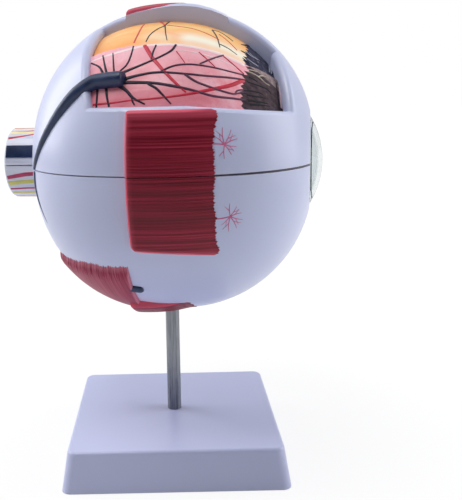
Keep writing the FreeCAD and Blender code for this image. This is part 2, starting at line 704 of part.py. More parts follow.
# ---------------------------------------------------------------- stand
rod_body = rod_along("rod_body", "up", "rod_radius", "rod_foot", "rod_top")
rod_stud = rod_along("rod_stud", "up", "stud_radius", "stud_above_table", "rod_foot")
keep_on_stand(pair("Fuse", "stand_rod", rod_body, rod_stud), "stand_rod")
stud_hole = rod_along("stud_hole", "up", "stud_radius + stud_fit", no_room, "rod_foot")
washer_disc = rod_along("washer_disc", "up", "washer_radius", "nut_foot + nut_height", "boss_foot")
keep_on_stand(cut("rod_washer", washer_disc, stud_hole), "rod_washer")
nut_block = doc.addObject("Part::Prism", "nut_block")
nut_block.Polygon = 6
bind(nut_block, Circumradius="nut_half_flat / cos(30)", Height="nut_height")
place(nut_block, "0", "0", "nut_foot")
nut_thread = rod_along("nut_thread", "up", "stud_radius", no_room, "boss_foot")
keep_on_stand(cut("rod_nut", nut_block, nut_thread), "rod_nut")


def base_body():
    """Square foot, hollow below, with slanted sides, rounded edges and a boss for the rod."""
    body = doc.addObject("PartDesign::Body", "base")
    planes = {plane.Role: plane for plane in body.Origin.OriginFeatures}

    def square(name, half, lift):
        sketch = body.newObject("Sketcher::SketchObject", name)
        sketch.AttachmentSupport = (planes["XY_Plane"], [""])
        sketch.MapMode = "FlatFace"
        corners = [FreeCAD.Vector(x, y, 0) * ROOM for x, y in ((-1, -1), (1, -1), (1, 1), (-1, 1))]
        for index in range(4):
            sketch.addGeometry(Part.LineSegment(corners[index], corners[(index + 1) % 4]), False)
        for index in range(4):
            sketch.addConstraint(Sketcher.Constraint("Coincident", index, 2, (index + 1) % 4, 1))
        for index, kind in enumerate(("Horizontal", "Vertical", "Horizontal", "Vertical")):
            sketch.addConstraint(Sketcher.Constraint(kind, index))
        sketch.addConstraint(Sketcher.Constraint("Symmetric", 0, 1, 1, 2, -1, 1))
        for kind, line in (("DistanceX", 0), ("DistanceY", 1)):
            number = sketch.addConstraint(Sketcher.Constraint(kind, line, 1, line, 2, 2 * ROOM))
            sketch.setExpression("Constraints[%d]" % number, in_sheet("2 * (%s)" % half))
        sketch.setExpression("AttachmentOffset.Base.z", in_sheet(lift))
        return sketch

    def disc(name, radius, lift):
        sketch = body.newObject("Sketcher::SketchObject", name)
        sketch.AttachmentSupport = (planes["XY_Plane"], [""])
        sketch.MapMode = "FlatFace"
        sketch.addGeometry(Part.Circle(FreeCAD.Vector(0, 0, 0), FreeCAD.Vector(0, 0, 1), ROOM), False)
        sketch.addConstraint(Sketcher.Constraint("Coincident", 0, 3, -1, 1))
        number = sketch.addConstraint(Sketcher.Constraint("Radius", 0, ROOM))
        sketch.setExpression("Constraints[%d]" % number, in_sheet(radius))
        sketch.setExpression("AttachmentOffset.Base.z", in_sheet(lift))
        return sketch

    def feature(kind, name, sketch, length, taper=None, reverse=False):
        made = body.newObject("PartDesign::" + kind, name)
        made.Profile = sketch
        made.Reversed = reverse
        made.setExpression("Length", in_sheet(length))
        if taper:
            made.setExpression("TaperAngle", in_sheet(taper))
        doc.recompute()
        return made

    def rounded(name, base, radius, wanted):
        made = body.newObject("PartDesign::Fillet", name)
        edges = ["Edge%d" % number for number, edge in enumerate(base.Shape.Edges, start=1) if wanted(edge)]
        made.Base = (base, edges)
        made.setExpression("Radius", radius)
        doc.recompute()
        return made

    def slanted(edge):
        low, high = sorted(vertex.Z for vertex in edge.Vertexes)
        return high - low > TOUCH

    def on_top(edge):
        return all(vertex.Z > size("base_height") - TOUCH for vertex in edge.Vertexes)

    block = feature("Pad", "base_block", square("base_outline", "0.5 * base_side", "0"), "base_height",
                    "0 - base_taper")
    block = rounded("base_corners", block, in_sheet("base_corner"), slanted)
    rounded("base_top_edge", block, in_sheet("base_edge"), on_top)
    hollow_outline = square("base_hollow_outline", "0.5 * base_side - base_wall", "0")
    feature("Pocket", "base_hollow", hollow_outline, "base_height - base_wall",
            "0 - base_taper", reverse=True)
    feature("Pad", "base_boss", disc("boss_outline", "boss_radius", "boss_foot"),
            "base_height - base_wall - boss_foot")
    feature("Pocket", "rod_hole", disc("rod_hole_outline", "rod_radius + rod_fit", "base_height"),
            "base_height - rod_foot")
    feature("Pocket", "stud_passage", disc("stud_hole_outline", "stud_radius + stud_fit", "base_height"),
            "base_height")
    return body


keep_on_stand(base_body(), "base")

# ---------------------------------------------------------------- check and write
doc.recompute()
faults = [thing.Name for thing in doc.Objects if "Invalid" in thing.State or "Error" in thing.State]
for piece in pieces:
    shape = piece.Shape
    if shape.isNull() or not shape.isValid() or not shape.Solids:
        faults.append(piece.Label)
if faults:
    raise RuntimeError("These pieces failed: " + ", ".join(faults))
os.makedirs("parts", exist_ok=True)
for piece in pieces:
    piece.Shape.exportStep("parts/%s.step" % piece.Label)
print("%d pieces written" % len(pieces))
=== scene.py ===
"""Looks of the take-apart classroom eye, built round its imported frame.

Lengths are in millimetres of the eye's own frame unless a name says otherwise: x runs forward through the
pupil, z is up, and the origin is the middle of the globe. to_row() turns them into metres of the row.
A roll is an angle about the eye's axis in degrees, 0 at the lateral side and 90 at the top.
"""

import math
from functools import cached_property

import bpy
from mathutils import Matrix, Vector


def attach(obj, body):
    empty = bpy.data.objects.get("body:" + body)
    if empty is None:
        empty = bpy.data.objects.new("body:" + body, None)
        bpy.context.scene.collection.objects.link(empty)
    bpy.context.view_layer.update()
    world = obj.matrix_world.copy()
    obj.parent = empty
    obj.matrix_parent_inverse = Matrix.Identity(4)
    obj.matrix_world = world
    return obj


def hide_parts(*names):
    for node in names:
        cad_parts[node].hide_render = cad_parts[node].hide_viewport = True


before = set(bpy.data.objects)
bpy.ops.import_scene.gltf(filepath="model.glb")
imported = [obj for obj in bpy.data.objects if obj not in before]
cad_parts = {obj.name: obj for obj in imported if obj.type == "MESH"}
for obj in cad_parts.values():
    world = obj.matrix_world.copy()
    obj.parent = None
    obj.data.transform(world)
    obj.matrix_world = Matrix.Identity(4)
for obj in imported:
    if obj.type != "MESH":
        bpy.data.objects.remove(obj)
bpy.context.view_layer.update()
scene = bpy.context.scene

# --- the eye's own frame, with the sizes of the CAD
METRE = 0.001
HALF_LENGTH, HALF_WIDTH = 71.2, 75.4
POLE_RADIUS, SHOULDER_RADIUS, EQUATOR_RADIUS = 102.7, 65.6, 100.0
EYE_OFFSET, EYE_HEIGHT = 3.3, 155.2
EYE_TURN = math.radians(9.74)
SEAM_GAP = 0.3
CHOROID_INSET, RETINA_INSET = 4.4, 6.0
LAYER_SETBACK, SET_BACK_FROM = 2.2, 3.5
EDGE = 0.02
POLE, EQUATOR = (HALF_LENGTH - POLE_RADIUS, 0.0), (0.0, HALF_WIDTH - EQUATOR_RADIUS)


def shoulder_centre():
    """Centre of the arc that joins the pole's arc to the equator's."""
    span = math.hypot(POLE[0], EQUATOR[1])
    reach = POLE_RADIUS - SHOULDER_RADIUS
    along = (reach ** 2 - (EQUATOR_RADIUS - SHOULDER_RADIUS) ** 2 + span ** 2) / (2 * span)
    aside = math.sqrt(reach ** 2 - along ** 2)
    ux, uy = -POLE[0] / span, EQUATOR[1] / span
    return POLE[0] + along * ux - aside * uy, along * uy + aside * ux


SHOULDER = shoulder_centre()
# Each arc of the front half's profile: its centre, its radius and the angle where the next one takes over.
ARCS = ((EQUATOR, EQUATOR_RADIUS, math.atan2(SHOULDER[1] - EQUATOR[1], SHOULDER[0])),
        (SHOULDER, SHOULDER_RADIUS, math.atan2(SHOULDER[1], SHOULDER[0] - POLE[0])),
        (POLE, POLE_RADIUS, 0.0))


def oval_radius(forward, inset=0.0):
    """Distance of a layer's surface from the eye axis."""
    there = abs(forward)
    for (ahead, aside), radius, end in ARCS:
        radius -= inset
        if there <= ahead + radius * math.cos(end):
            return aside + math.sqrt(radius ** 2 - (there - ahead) ** 2)
    return 0.0


def layer_radius(forward, inset=0.0):
    """Distance of a level from the eye axis; the levels under the sclera are set back."""
    return oval_radius(forward + (LAYER_SETBACK if inset > SET_BACK_FROM else 0.0), inset)


def on_layer(forward, roll, inset=0.0):
    """Point of a layer."""
    radius = layer_radius(forward, inset)
    angle = math.radians(roll)
    return Vector((forward, -radius * math.cos(angle), radius * math.sin(angle)))


def roll_of(spot):
    return math.degrees(math.atan2(spot.z, -spot.y))


def outward(spot, inset=0.0):
    """Unit normal of a layer at a point on it."""
    slope = (layer_radius(spot.x + EDGE, inset) - layer_radius(spot.x - EDGE, inset)) / (2 * EDGE)
    radius = math.hypot(spot.y, spot.z)
    return Vector((-slope, spot.y / radius, spot.z / radius)).normalized()


def to_row(spot, half):
    """Metres of the row for a point of one half of the eye."""
    x = EYE_OFFSET + spot.x * math.cos(EYE_TURN) + spot.y * math.sin(EYE_TURN)
    y = -spot.x * math.sin(EYE_TURN) + spot.y * math.cos(EYE_TURN)
    z = EYE_HEIGHT + spot.z + (SEAM_GAP if half == "upper" else 0.0)
    return Vector((x, y, z)) * METRE


# --- camera, and where its pixels meet the eye
CAMERA_AT = Vector((-1.13, -399.22, 191.02))
CAMERA_YAW, CAMERA_PITCH, CAMERA_ROLL = -0.0062, 0.1942, 0.0248
FOCAL_PIXELS = 770.3
CENTRE_PIXEL = (163.97, 242.5)
FRAME_PIXELS = (462, 500)
SENSOR_MM = 36.0
NEAREST, FARTHEST, STRIDE, HALVINGS = 270.0, 480.0, 1.5, 24


def camera_axes():
    """Right, down and forward of the camera in the row frame."""
    level = math.cos(CAMERA_PITCH)
    forward = Vector((math.sin(CAMERA_YAW) * level, math.cos(CAMERA_YAW) * level, -math.sin(CAMERA_PITCH)))
    right = Vector((math.cos(CAMERA_YAW), -math.sin(CAMERA_YAW), 0.0))
    down = forward.cross(right)
    cos, sin = math.cos(CAMERA_ROLL), math.sin(CAMERA_ROLL)
    return cos * right + sin * down, cos * down - sin * right, forward


RIGHT, DOWN, FORWARD = camera_axes()


def seen(pixel, inset):
    """Point of a layer that the photograph shows at a pixel, or the layer's rim nearest to it."""
    ray = FORWARD + RIGHT * ((pixel[0] - CENTRE_PIXEL[0]) / FOCAL_PIXELS)
    ray = (ray + DOWN * ((pixel[1] - CENTRE_PIXEL[1]) / FOCAL_PIXELS)).normalized()
    limit = HALF_LENGTH - LAYER_SETBACK - inset - EDGE

    def at(distance):
        spot = CAMERA_AT + ray * distance
        x, y = spot.x - EYE_OFFSET, spot.y
        return Vector((x * math.cos(EYE_TURN) - y * math.sin(EYE_TURN),
                       x * math.sin(EYE_TURN) + y * math.cos(EYE_TURN), spot.z - EYE_HEIGHT))

    def height(distance):
        spot = at(distance)
        return math.hypot(spot.y, spot.z) - layer_radius(max(-limit, min(spot.x, limit)), inset)

    best = distance = NEAREST
    while distance < FARTHEST:
        if height(distance) < height(best):
            best = distance
        if height(distance) < 0.0:
            low, high = distance - STRIDE, distance
            for _ in range(HALVINGS):
                middle = (low + high) / 2
                low, high = (low, middle) if height(middle) < 0.0 else (middle, high)
            best = high
            break
        distance += STRIDE
    spot = at(best)
    return on_layer(spot.x, roll_of(spot), inset)


# --- building blocks
SHARP_ANGLE = math.radians(50.0)


def placed(name, data):
    """A new object of the scene."""
    thing = bpy.data.objects.new(name, data)
    scene.collection.objects.link(thing)
    return thing


def smooth(share):
    """0 to 1 with a level start and end."""
    return share * share * (3 - 2 * share)


def smooth_path(points, step):
    """Points along a Catmull-Rom curve through the given ones, about a step apart, with their parameter."""
    points = [Vector(point) for point in points]
    ends = [points[0] * 2 - points[1]] + points + [points[-1] * 2 - points[-2]]
    path = []
    for index in range(len(points) - 1):
        p0, p1, p2, p3 = ends[index:index + 4]
        pieces = max(2, int(math.ceil((p2 - p1).length / step)))
        for k in range(pieces):
            t = k / pieces
            spot = 0.5 * (2 * p1 + (p2 - p0) * t + (2 * p0 - 5 * p1 + 4 * p2 - p3) * t ** 2
                          + (3 * p1 - p0 - 3 * p2 + p3) * t ** 3)
            path.append((spot, index + t))
    path.append((points[-1], len(points) - 1.0))
    return path


def between(values, parameter):
    """A list's value at a fractional index."""
    index = min(int(parameter), len(values) - 2)
    share = parameter - index
    return values[index] * (1 - share) + values[index + 1] * share


def circle(sides):
    """Cosine and sine at even steps round a circle."""
    return [(math.cos(2 * math.pi * k / sides), math.sin(2 * math.pi * k / sides)) for k in range(sides)]


class Surface:
    """Gathers the faces of one piece of a half, in the eye's frame, and makes its object."""

    def __init__(self, half):
        self.half = half
        self.spots, self.faces, self.crest_highlights = [], [], []

    def add(self, spot, crest_highlight=0.0):
        self.spots.append(spot)
        self.crest_highlights.append(crest_highlight)
        return len(self.spots) - 1

    def strand(self, places, sides=8):
        """A flattened closed tube that stays in its half.

        Each place is a centre, a normal, a half width and a half height.
        """
        rows = []
        for index, (centre, normal, wide, tall) in enumerate(places):
            ahead = places[min(index + 1, len(places) - 1)][0] - places[max(index - 1, 0)][0]
            across = normal.cross(ahead).normalized()
            rows.append([])
            for cos, sin in circle(sides):
                spot = centre + across * (wide * cos) + normal * (tall * sin)
                spot.z = max(spot.z, EDGE) if self.half == "upper" else min(spot.z, -EDGE)
                rows[-1].append(self.add(spot))
        for first, second in zip(rows, rows[1:]):
            for k in range(sides):
                after = (k + 1) % sides
                self.faces.append((first[k], first[after], second[after], second[k]))
        self.faces += [tuple(reversed(rows[0])), tuple(rows[-1])]

    def line(self, points, widths, inset, height, step=0.8):
        """A painted line that stands a little off a layer; widths are full, one for each point."""
        places = []
        for spot, parameter in smooth_path(points, step):
            on = on_layer(spot.x, roll_of(spot), inset)
            wide = between(widths, parameter) / 2
            places.append((on, outward(on, inset), wide, min(height, wide)))
        self.strand(places)

    def slab(self, rows, columns, cell):
        """A closed sheet over a grid; cell(i, j) gives what add() takes for its top and its bottom."""
        grid = [[[self.add(*corner) for corner in cell(i, j)] for j in range(columns)] for i in range(rows)]

        def quad(*corners):
            self.faces.append(tuple(grid[i][j][side] for i, j, side in corners))

        for i in range(rows - 1):
            for j in range(columns - 1):
                quad((i, j, 0), (i + 1, j, 0), (i + 1, j + 1, 0), (i, j + 1, 0))
                quad((i, j, 1), (i, j + 1, 1), (i + 1, j + 1, 1), (i + 1, j, 1))
        for i in range(rows - 1):
            quad((i, 0, 0), (i, 0, 1), (i + 1, 0, 1), (i + 1, 0, 0))
            quad((i, -1, 0), (i + 1, -1, 0), (i + 1, -1, 1), (i, -1, 1))
        for j in range(columns - 1):
            quad((0, j, 0), (0, j + 1, 0), (0, j + 1, 1), (0, j, 1))
            quad((-1, j, 0), (-1, j, 1), (-1, j + 1, 1), (-1, j + 1, 0))

    def finish(self, name, material, stands_for=()):
        mesh = bpy.data.meshes.new(name)
        mesh.from_pydata([to_row(spot, self.half) for spot in self.spots], [], self.faces)
        mesh.validate()
        mesh.attributes.new("crest_highlight", "FLOAT", "POINT").data.foreach_set("value", self.crest_highlights)
        mesh.materials.append(material)
        mesh.polygons.foreach_set("use_smooth", [True] * len(mesh.polygons))
        mesh.set_sharp_from_angle(angle=SHARP_ANGLE)
        mesh.update()
        thing = placed(name, mesh)
        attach(thing, self.half + "_half")
        if stands_for:
            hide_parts(*stands_for)
        return thing


# --- materials
def colour(tone):
    """A display colour, 0xRRGGBB, as the linear colour that nodes take."""
    parts = [value / 255.0 for value in tone.to_bytes(3, "big")]
    return (*(part / 12.92 if part <= 0.04045 else ((part + 0.055) / 1.055) ** 2.4 for part in parts), 1.0)


class Nodes:
    """A node tree under construction; a socket is given a number, a tuple or another socket."""

    def __init__(self, tree):
        self.tree = tree

    def node(self, kind, inputs=None, **settings):
        """A new node of a kind, which is named without its ShaderNode."""
        made = self.tree.nodes.new("ShaderNode" + kind)
        for key, value in settings.items():
            setattr(made, key, value)
        for key, value in (inputs or {}).items():
            self.feed(made.inputs[key], value)
        return made

    def feed(self, socket, value):
        if isinstance(value, bpy.types.NodeSocket):
            self.tree.links.new(value, socket)
        else:
            socket.default_value = value

    def math(self, operation, *values):
        return self.node("Math", dict(enumerate(values)), operation=operation).outputs[0]

    def hypot(self, first, second):
        squares = [self.math("MULTIPLY", value, value) for value in (first, second)]
        return self.math("SQRT", self.math("ADD", *squares))

    def spread(self, value, low, high, start=0.0, end=1.0, kind="SMOOTHSTEP"):
        """Map a value from low..high to start..end."""
        inputs = {"Value": value, "From Min": low, "From Max": high, "To Min": start, "To Max": end}
        return self.node("MapRange", inputs, interpolation_type=kind).outputs["Result"]


class Paint(Nodes):
    """A node material under construction."""

    def __init__(self, name):
        self.material = bpy.data.materials.new(name)
        self.material.use_nodes = True
        super().__init__(self.material.node_tree)
        self.shader = self.tree.nodes["Principled BSDF"]
        self.place = self.node("TexCoord").outputs["Object"]

    @cached_property
    def eye_place(self):
        """Place in the eye's own frame, in millimetres."""
        moved = self.vector("SUBTRACT", self.place, (EYE_OFFSET * METRE, 0.0, EYE_HEIGHT * METRE))
        turned = self.node("VectorRotate", {"Vector": moved, "Angle": EYE_TURN}, rotation_type="Z_AXIS")
        return self.vector("MULTIPLY", turned.outputs[0], (1 / METRE,) * 3)

    @cached_property
    def eye_axes(self):
        """Forward, aside and up."""
        return self.node("SeparateXYZ", {0: self.eye_place}).outputs

    forward, side, up = (property(lambda self, axis=axis: self.eye_axes[axis]) for axis in range(3))

    @cached_property
    def roll(self):
        return self.math("DEGREES", self.math("ARCTAN2", self.up, self.math("MULTIPLY", self.side, -1.0)))

    def vector(self, operation, first, second):
        return self.node("VectorMath", {0: first, 1: second}, operation=operation).outputs[0]

    def noise(self, scale, detail=3.0, roughness=0.55, vector=None, distortion=0.0):
        inputs = {"Vector": vector or self.place, "Scale": scale, "Detail": detail,
                  "Roughness": roughness, "Distortion": distortion}
        return self.node("TexNoise", inputs).outputs["Fac"]

    def streaks(self, stretch, detail=3.0, roughness=0.6, distortion=0.0):
        """Noise over the eye's own place with each axis scaled."""
        return self.noise(1.0, detail, roughness, self.vector("MULTIPLY", self.eye_place, stretch), distortion)

    def wound(self, first, second):
        """Place for streaks that wind round the eye's axis."""
        return self.node("CombineXYZ", {0: first, 1: second}).outputs[0]

    def ramp(self, factor, *stops):
        """Colours blended along a factor; each stop is a position and a tone."""
        made = self.node("ValToRGB", {"Fac": factor})
        elements = made.color_ramp.elements
        while len(elements) < len(stops):
            elements.new(0.5)
        for element, (position, tone) in zip(elements, stops):
            element.position = position
            element.color = colour(tone)
        return made.outputs["Color"]

    def mix(self, factor, first, second):
        """Blend from one tint to another; each is a tone or a socket."""
        made = self.node("Mix", data_type="RGBA")
        inputs = [colour(tint) if isinstance(tint, int) else tint for tint in (first, second)]
        for index, value in ((0, factor), (6, inputs[0]), (7, inputs[1])):
            self.feed(made.inputs[index], value)
        return made.outputs[2]

    def bump(self, height, strength, depth, under=None):
        """Relief of a depth in millimetres, over another one if there is one."""
        inputs = {"Height": height, "Strength": strength, "Distance": depth * METRE}
        if under:
            inputs["Normal"] = under
        return self.node("Bump", inputs).outputs["Normal"]

    def done(self, tint, roughness, normal=None, **sockets):
        sockets = {"Base Color": tint, "Roughness": roughness, **sockets}
        if normal:
            sockets["Normal"] = normal
        for key, value in sockets.items():
            self.feed(self.shader.inputs[key.replace("_", " ")], value)
        return self.material

    def coated(self, tint, grain, gloss, rough, strength, depth, shine=0.5):
        """Done, with roughness and relief that follow one grain."""
        return self.done(tint, self.spread(grain, 0.3, 0.7, gloss, rough), self.bump(grain, strength, depth),
                         Specular_IOR_Level=shine)


# Dark line along the seam: dirt, and painted shade of the gap between the halves.
SEAM_GRIME_AND_SHADE = 0x2C181A
SEAM_LINE, SEAM_LINE_BLUR = (0.1, 0.36), 0.05  # half widths at the back and the front
UPRIGHT = 0.7


def seam_grime_and_shade(paint):
    """1 on a thin dark line along the outer edges of the seam, wider towards the front of the eye: dirt, and
    painted shade that stands in for the gap between the halves.
    """
    off_seam = paint.math("ABSOLUTE", paint.math("SUBTRACT", paint.up, SEAM_GAP / 2))
    width = paint.spread(paint.forward, -10.0, 60.0, *(SEAM_GAP / 2 + line for line in SEAM_LINE))
    beyond = paint.math("SUBTRACT", off_seam, width)
    facing = paint.node("SeparateXYZ", {0: paint.node("NewGeometry").outputs["Normal"]})
    upright = paint.math("LESS_THAN", paint.math("ABSOLUTE", facing.outputs[2]), UPRIGHT)
    return paint.math("MULTIPLY", paint.spread(beyond, -SEAM_LINE_BLUR, SEAM_LINE_BLUR, 1.0, 0.0), upright)


def moulded(name, low, high, gloss=0.3, grime_and_shade=False):
    """Glossy moulded plastic: faint flow clouds and the slight waviness of a moulded wall."""
    paint = Paint(name)
    tint = paint.ramp(paint.noise(9.0, 2.0), (0.0, low), (1.0, high))
    # Painted shade of the seam's gap, with dirt, on the white plastic.
    if grime_and_shade:
        tint = paint.mix(seam_grime_and_shade(paint), tint, SEAM_GRIME_AND_SHADE)
    rough = paint.spread(paint.noise(30.0, 1.0), 0.0, 1.0, gloss - 0.01, gloss + 0.03, "LINEAR")
    return paint.done(tint, rough, paint.bump(paint.noise(14.0, 1.0), 0.02, 0.15), Specular_IOR_Level=0.5)


WHITE = moulded("white_moulded_plastic", 0xC6CBE9, 0xCBD0EE, grime_and_shade=True)
# The base's white plastic is a slightly darker copy of the sclera's: painted shade on the base and the seam
# pegs.
FOOT_WHITE_SHADED = moulded("foot_moulded_plastic_shaded", 0xBCC1E2, 0xC2C7E7)
SOCKET = moulded("socket_plastic", 0x787C8C, 0x848898, 0.4)


def brushed_steel():
    """Drawn steel with fine lines along the rod."""
    paint = Paint("brushed_steel")
    grain = paint.noise(1.0, 4.0, 0.65, paint.vector("MULTIPLY", paint.place, (900.0, 900.0, 60.0)))
    tint = paint.ramp(grain, (0.3, 0x686B72), (0.75, 0x9C9FA5))
    rough = paint.spread(grain, 0.2, 0.8, 0.29, 0.44)
    return paint.done(tint, rough, paint.bump(grain, 0.15, 0.05), Metallic=1.0)


STEEL = brushed_steel()
ORA_CHOROID, ORA_RETINA, ORA_TOOTH = 39.5, 37.2, 1.6


def ciliary_zone(paint, tint, streaks, stops, limit, gloss, rough, dulling, relief):
    """Finish a coat that turns into the dark, dull ciliary zone ahead of its serrated line."""
    teeth = paint.math("PINGPONG", paint.roll, ORA_TOOTH)
    wander = paint.spread(paint.noise(70.0, 2.0), 0.3, 0.7, -ORA_TOOTH, ORA_TOOTH, "LINEAR")
    edge = paint.math("ADD", paint.math("ADD", teeth, wander), limit - 1.0)
    ahead = paint.spread(paint.math("SUBTRACT", paint.forward, edge), -0.15, 0.15)
    tint = paint.mix(ahead, tint, paint.ramp(streaks, *stops))
    rough = paint.spread(paint.noise(150.0), 0.3, 0.7, gloss, rough)
    rough = paint.math("ADD", rough, paint.math("MULTIPLY", ahead, dulling))
    shine = paint.math("SUBTRACT", 0.5, paint.math("MULTIPLY", ahead, 0.36))
    return paint.done(tint, rough, relief, Specular_IOR_Level=shine)


PINK_LOW, PINK_HIGH, PINK_FLUSH, CAPILLARY = 0xE27688, 0xF294A2, 0xFEC8D4, 0xC45468


def choroid_paint(name):
    """Pink coat with a net of capillaries, paler towards the top as a painted highlight, and its brown ciliary
    zone.
    """
    paint = Paint(name)
    clouds = paint.noise(34.0, 4.0, 0.6, distortion=0.6)
    tint = paint.ramp(clouds, (0.28, PINK_LOW), (0.52, PINK_HIGH), (0.74, PINK_FLUSH))
    # Painted highlight: the pink turns paler towards the top of the window.
    tint = paint.mix(paint.spread(paint.roll, 36.0, 52.0, 0.0, 0.55), tint, PINK_FLUSH)
    cells = paint.node("TexVoronoi", {"Vector": paint.place, "Scale": 420.0, "Randomness": 1.0},
                       feature="DISTANCE_TO_EDGE").outputs["Distance"]
    net = paint.math("MULTIPLY", paint.spread(cells, 0.0, 0.06, 0.22, 0.0),
                     paint.spread(paint.noise(60.0, 2.0), 0.45, 0.62))
    streaks = paint.streaks((0.045, 0.5, 0.5))
    relief = paint.bump(streaks, 0.25, 0.4, paint.bump(clouds, 0.3, 0.35))
    return ciliary_zone(paint, paint.mix(net, tint, CAPILLARY), streaks,
                        ((0.35, 0x362A30), (0.66, 0x58464E), (0.78, 0x6C5A5E)),
                        ORA_CHOROID, 0.30, 0.44, 0.32, relief)


PINK = choroid_paint("choroid_pink")
CILIARY = choroid_paint("ciliary_muscle_brown")
DISC_RADIUS, SPOT_ASIDE = 5.0, 17.0


def retina_paint():
    """Orange coat with cream clouds, a cream painted highlight across its dome, the pale disc of the nerve and
    the darker spot beside it.
    """
    paint = Paint("retina_orange")
    clouds = paint.streaks((0.022, 0.055, 0.055), 3.0, 0.55, 0.7)
    tint = paint.ramp(clouds, (0.30, 0xFF9E50), (0.48, 0xFFBA70), (0.64, 0xFFD28C),
                      (0.80, 0xFFEEBE))
    # Painted highlight: a cream stripe between rolls 56 and 68, fading out behind the middle.
    highlight_band = paint.math("MULTIPLY", paint.spread(paint.roll, 56.0, 60.0, 0.55, 1.0),
                      paint.spread(paint.roll, 60.0, 68.0, 1.0, 0.0))
    highlight_band = paint.math("MULTIPLY", highlight_band, paint.spread(paint.forward, -14.0, 4.0))
    cream = paint.math("MULTIPLY", highlight_band, paint.spread(paint.noise(34.0, 2.0), 0.36, 0.56, 0.25, 1.0))
    tint = paint.mix(cream, tint, 0xFFF8E4)
    tint = paint.mix(paint.spread(paint.roll, 72.0, 84.0, 0.0, 0.3), tint, 0xFA9E54)
    behind = paint.spread(paint.forward, -50.0, -40.0, 1.0, 0.0)
    disc = paint.spread(paint.hypot(paint.side, paint.up), DISC_RADIUS - 0.4, DISC_RADIUS + 0.4, 1.0, 0.0)
    tint = paint.mix(paint.math("MULTIPLY", disc, behind), tint, 0xFFECBE)
    beside = paint.hypot(paint.math("ADD", paint.side, SPOT_ASIDE), paint.up)
    macula = paint.math("MULTIPLY", paint.spread(beside, 1.5, 6.0, 0.75, 0.0), behind)
    return ciliary_zone(paint, paint.mix(macula, tint, 0xC45C34), paint.streaks((0.05, 0.6, 0.6)),
                        ((0.40, 0x1E1E32), (0.62, 0x42425A), (0.75, 0x969496)),
                        ORA_RETINA, 0.29, 0.42, 0.3, paint.bump(clouds, 0.3, 0.5))


RETINA = retina_paint()
OBLIQUE_WIND = 10.0


def muscle_paint(name, stretch, low, middle, high, edge, shine=0.22):
    """Painted muscle, dark maroon streaked along the fibres, with a lighter tone mixed in as painted highlight
    on the fibre ridges, the rounded edges and the sides.

    Without a stretch the streaks wind round the eye, as an oblique muscle's fibres do.
    """
    paint = Paint(name)
    if stretch:
        streaks = paint.streaks(stretch, 3.0, 0.5)
    else:
        lead = paint.math("ADD", paint.forward, paint.math("MULTIPLY", paint.roll, math.radians(OBLIQUE_WIND)))
        place = paint.wound(paint.math("MULTIPLY", lead, 1.6), paint.math("MULTIPLY", paint.roll, 0.03))
        streaks = paint.noise(1.0, 3.0, 0.5, place)
    tint = paint.ramp(streaks, (0.30, low), (0.50, middle), (0.72, high))
    # Painted highlight: the lighter edge tone, where the mesh asks for it.
    crest_highlight = paint.node("Attribute", attribute_name="crest_highlight").outputs["Fac"]
    return paint.coated(paint.mix(crest_highlight, tint, edge), streaks, 0.34, 0.5, 0.35, 0.35, shine)


# Low, middle and high tones of the paint, and the lighter tone of the painted highlight.
MUSCLE_TONES = 0x5E0A1E, 0x7E142A, 0xA62E46, 0xE05E74
SIDE_MUSCLE = muscle_paint("muscle_red_sides", (0.009, 0.02, 1.0), *MUSCLE_TONES)
CROWN_MUSCLE = muscle_paint("muscle_red_crown", (0.009, 1.0, 0.02), *MUSCLE_TONES)
# Its fourth tone is the lighter tone of the painted highlight.
OBLIQUE = muscle_paint("oblique_red", None, 0x862A40, 0xA23E56, 0xC06276, 0xDE8C9E, 0.12)


def line_paint(name, low, high, gloss=0.3, shine=0.5, faded=None):
    """Hand-painted line: an uneven coat, and where it fades, thinner towards the front."""
    paint = Paint(name)
    coat = paint.noise(220.0, 3.0, 0.6)
    tint = paint.ramp(coat, (0.3, low), (0.7, high))
    if faded:
        worn = paint.math("MULTIPLY", paint.spread(paint.forward, -8.0, 30.0, 0.0, 0.8),
                          paint.spread(paint.noise(60.0, 2.0), 0.35, 0.6, 0.35, 1.0))
        tint = paint.mix(worn, tint, faded)
    return paint.coated(tint, coat, gloss - 0.01, gloss + 0.1, 0.2, 0.2, shine)


NAVY = line_paint("vein_navy", 0x182648, 0x2A3C62, 0.34, 0.45)
NERVE_NAVY = line_paint("nerve_navy", 0x102042, 0x1E3056, 0.34, 0.4)
THIN_VEIN = line_paint("thin_vein", 0x141022, 0x2C2438, 0.36, 0.22, 0x744C62)
ARTERY = line_paint("artery_red", 0xBE1E38, 0xD83C54, 0.34, 0.3)
FINE_ARTERY = line_paint("fine_artery", 0xCE3E42, 0xE25C58, 0.3, 0.35)
MAGENTA = line_paint("capillary_magenta", 0xC45C8C, 0xD67AA4, 0.4, 0.35)
CRIMSON = line_paint("nerve_crimson", 0xAA2254, 0xC03868)
YELLOW = line_paint("nerve_yellow", 0xC4BC54, 0xDCD476)
PALE_YELLOW = line_paint("nerve_pale_yellow", 0xF0E4A0, 0xFAF0BE)
# Pale pink of the painted highlight along the choroid's edge.
BEVEL_HIGHLIGHT_PINK = line_paint("choroid_bevel_highlight_paint", 0xFAD6DA, 0xFFECEA)
PALE_GREY = line_paint("slate_streak_grey", 0x9698B0, 0xC4C6D6)
INK = line_paint("slate_edge_ink", 0x0E0E28, 0x22223A, 0.5, 0.2)
CREAM = line_paint("plate_streak_cream", 0xB0A08C, 0xD6CAB8)
ROSY_GREY = line_paint("plate_rim_rosy", 0xC4A4AC, 0xE2C6CC)
SOOT = line_paint("plate_streak_soot", 0x222026, 0x323036, 0.6, 0.12)


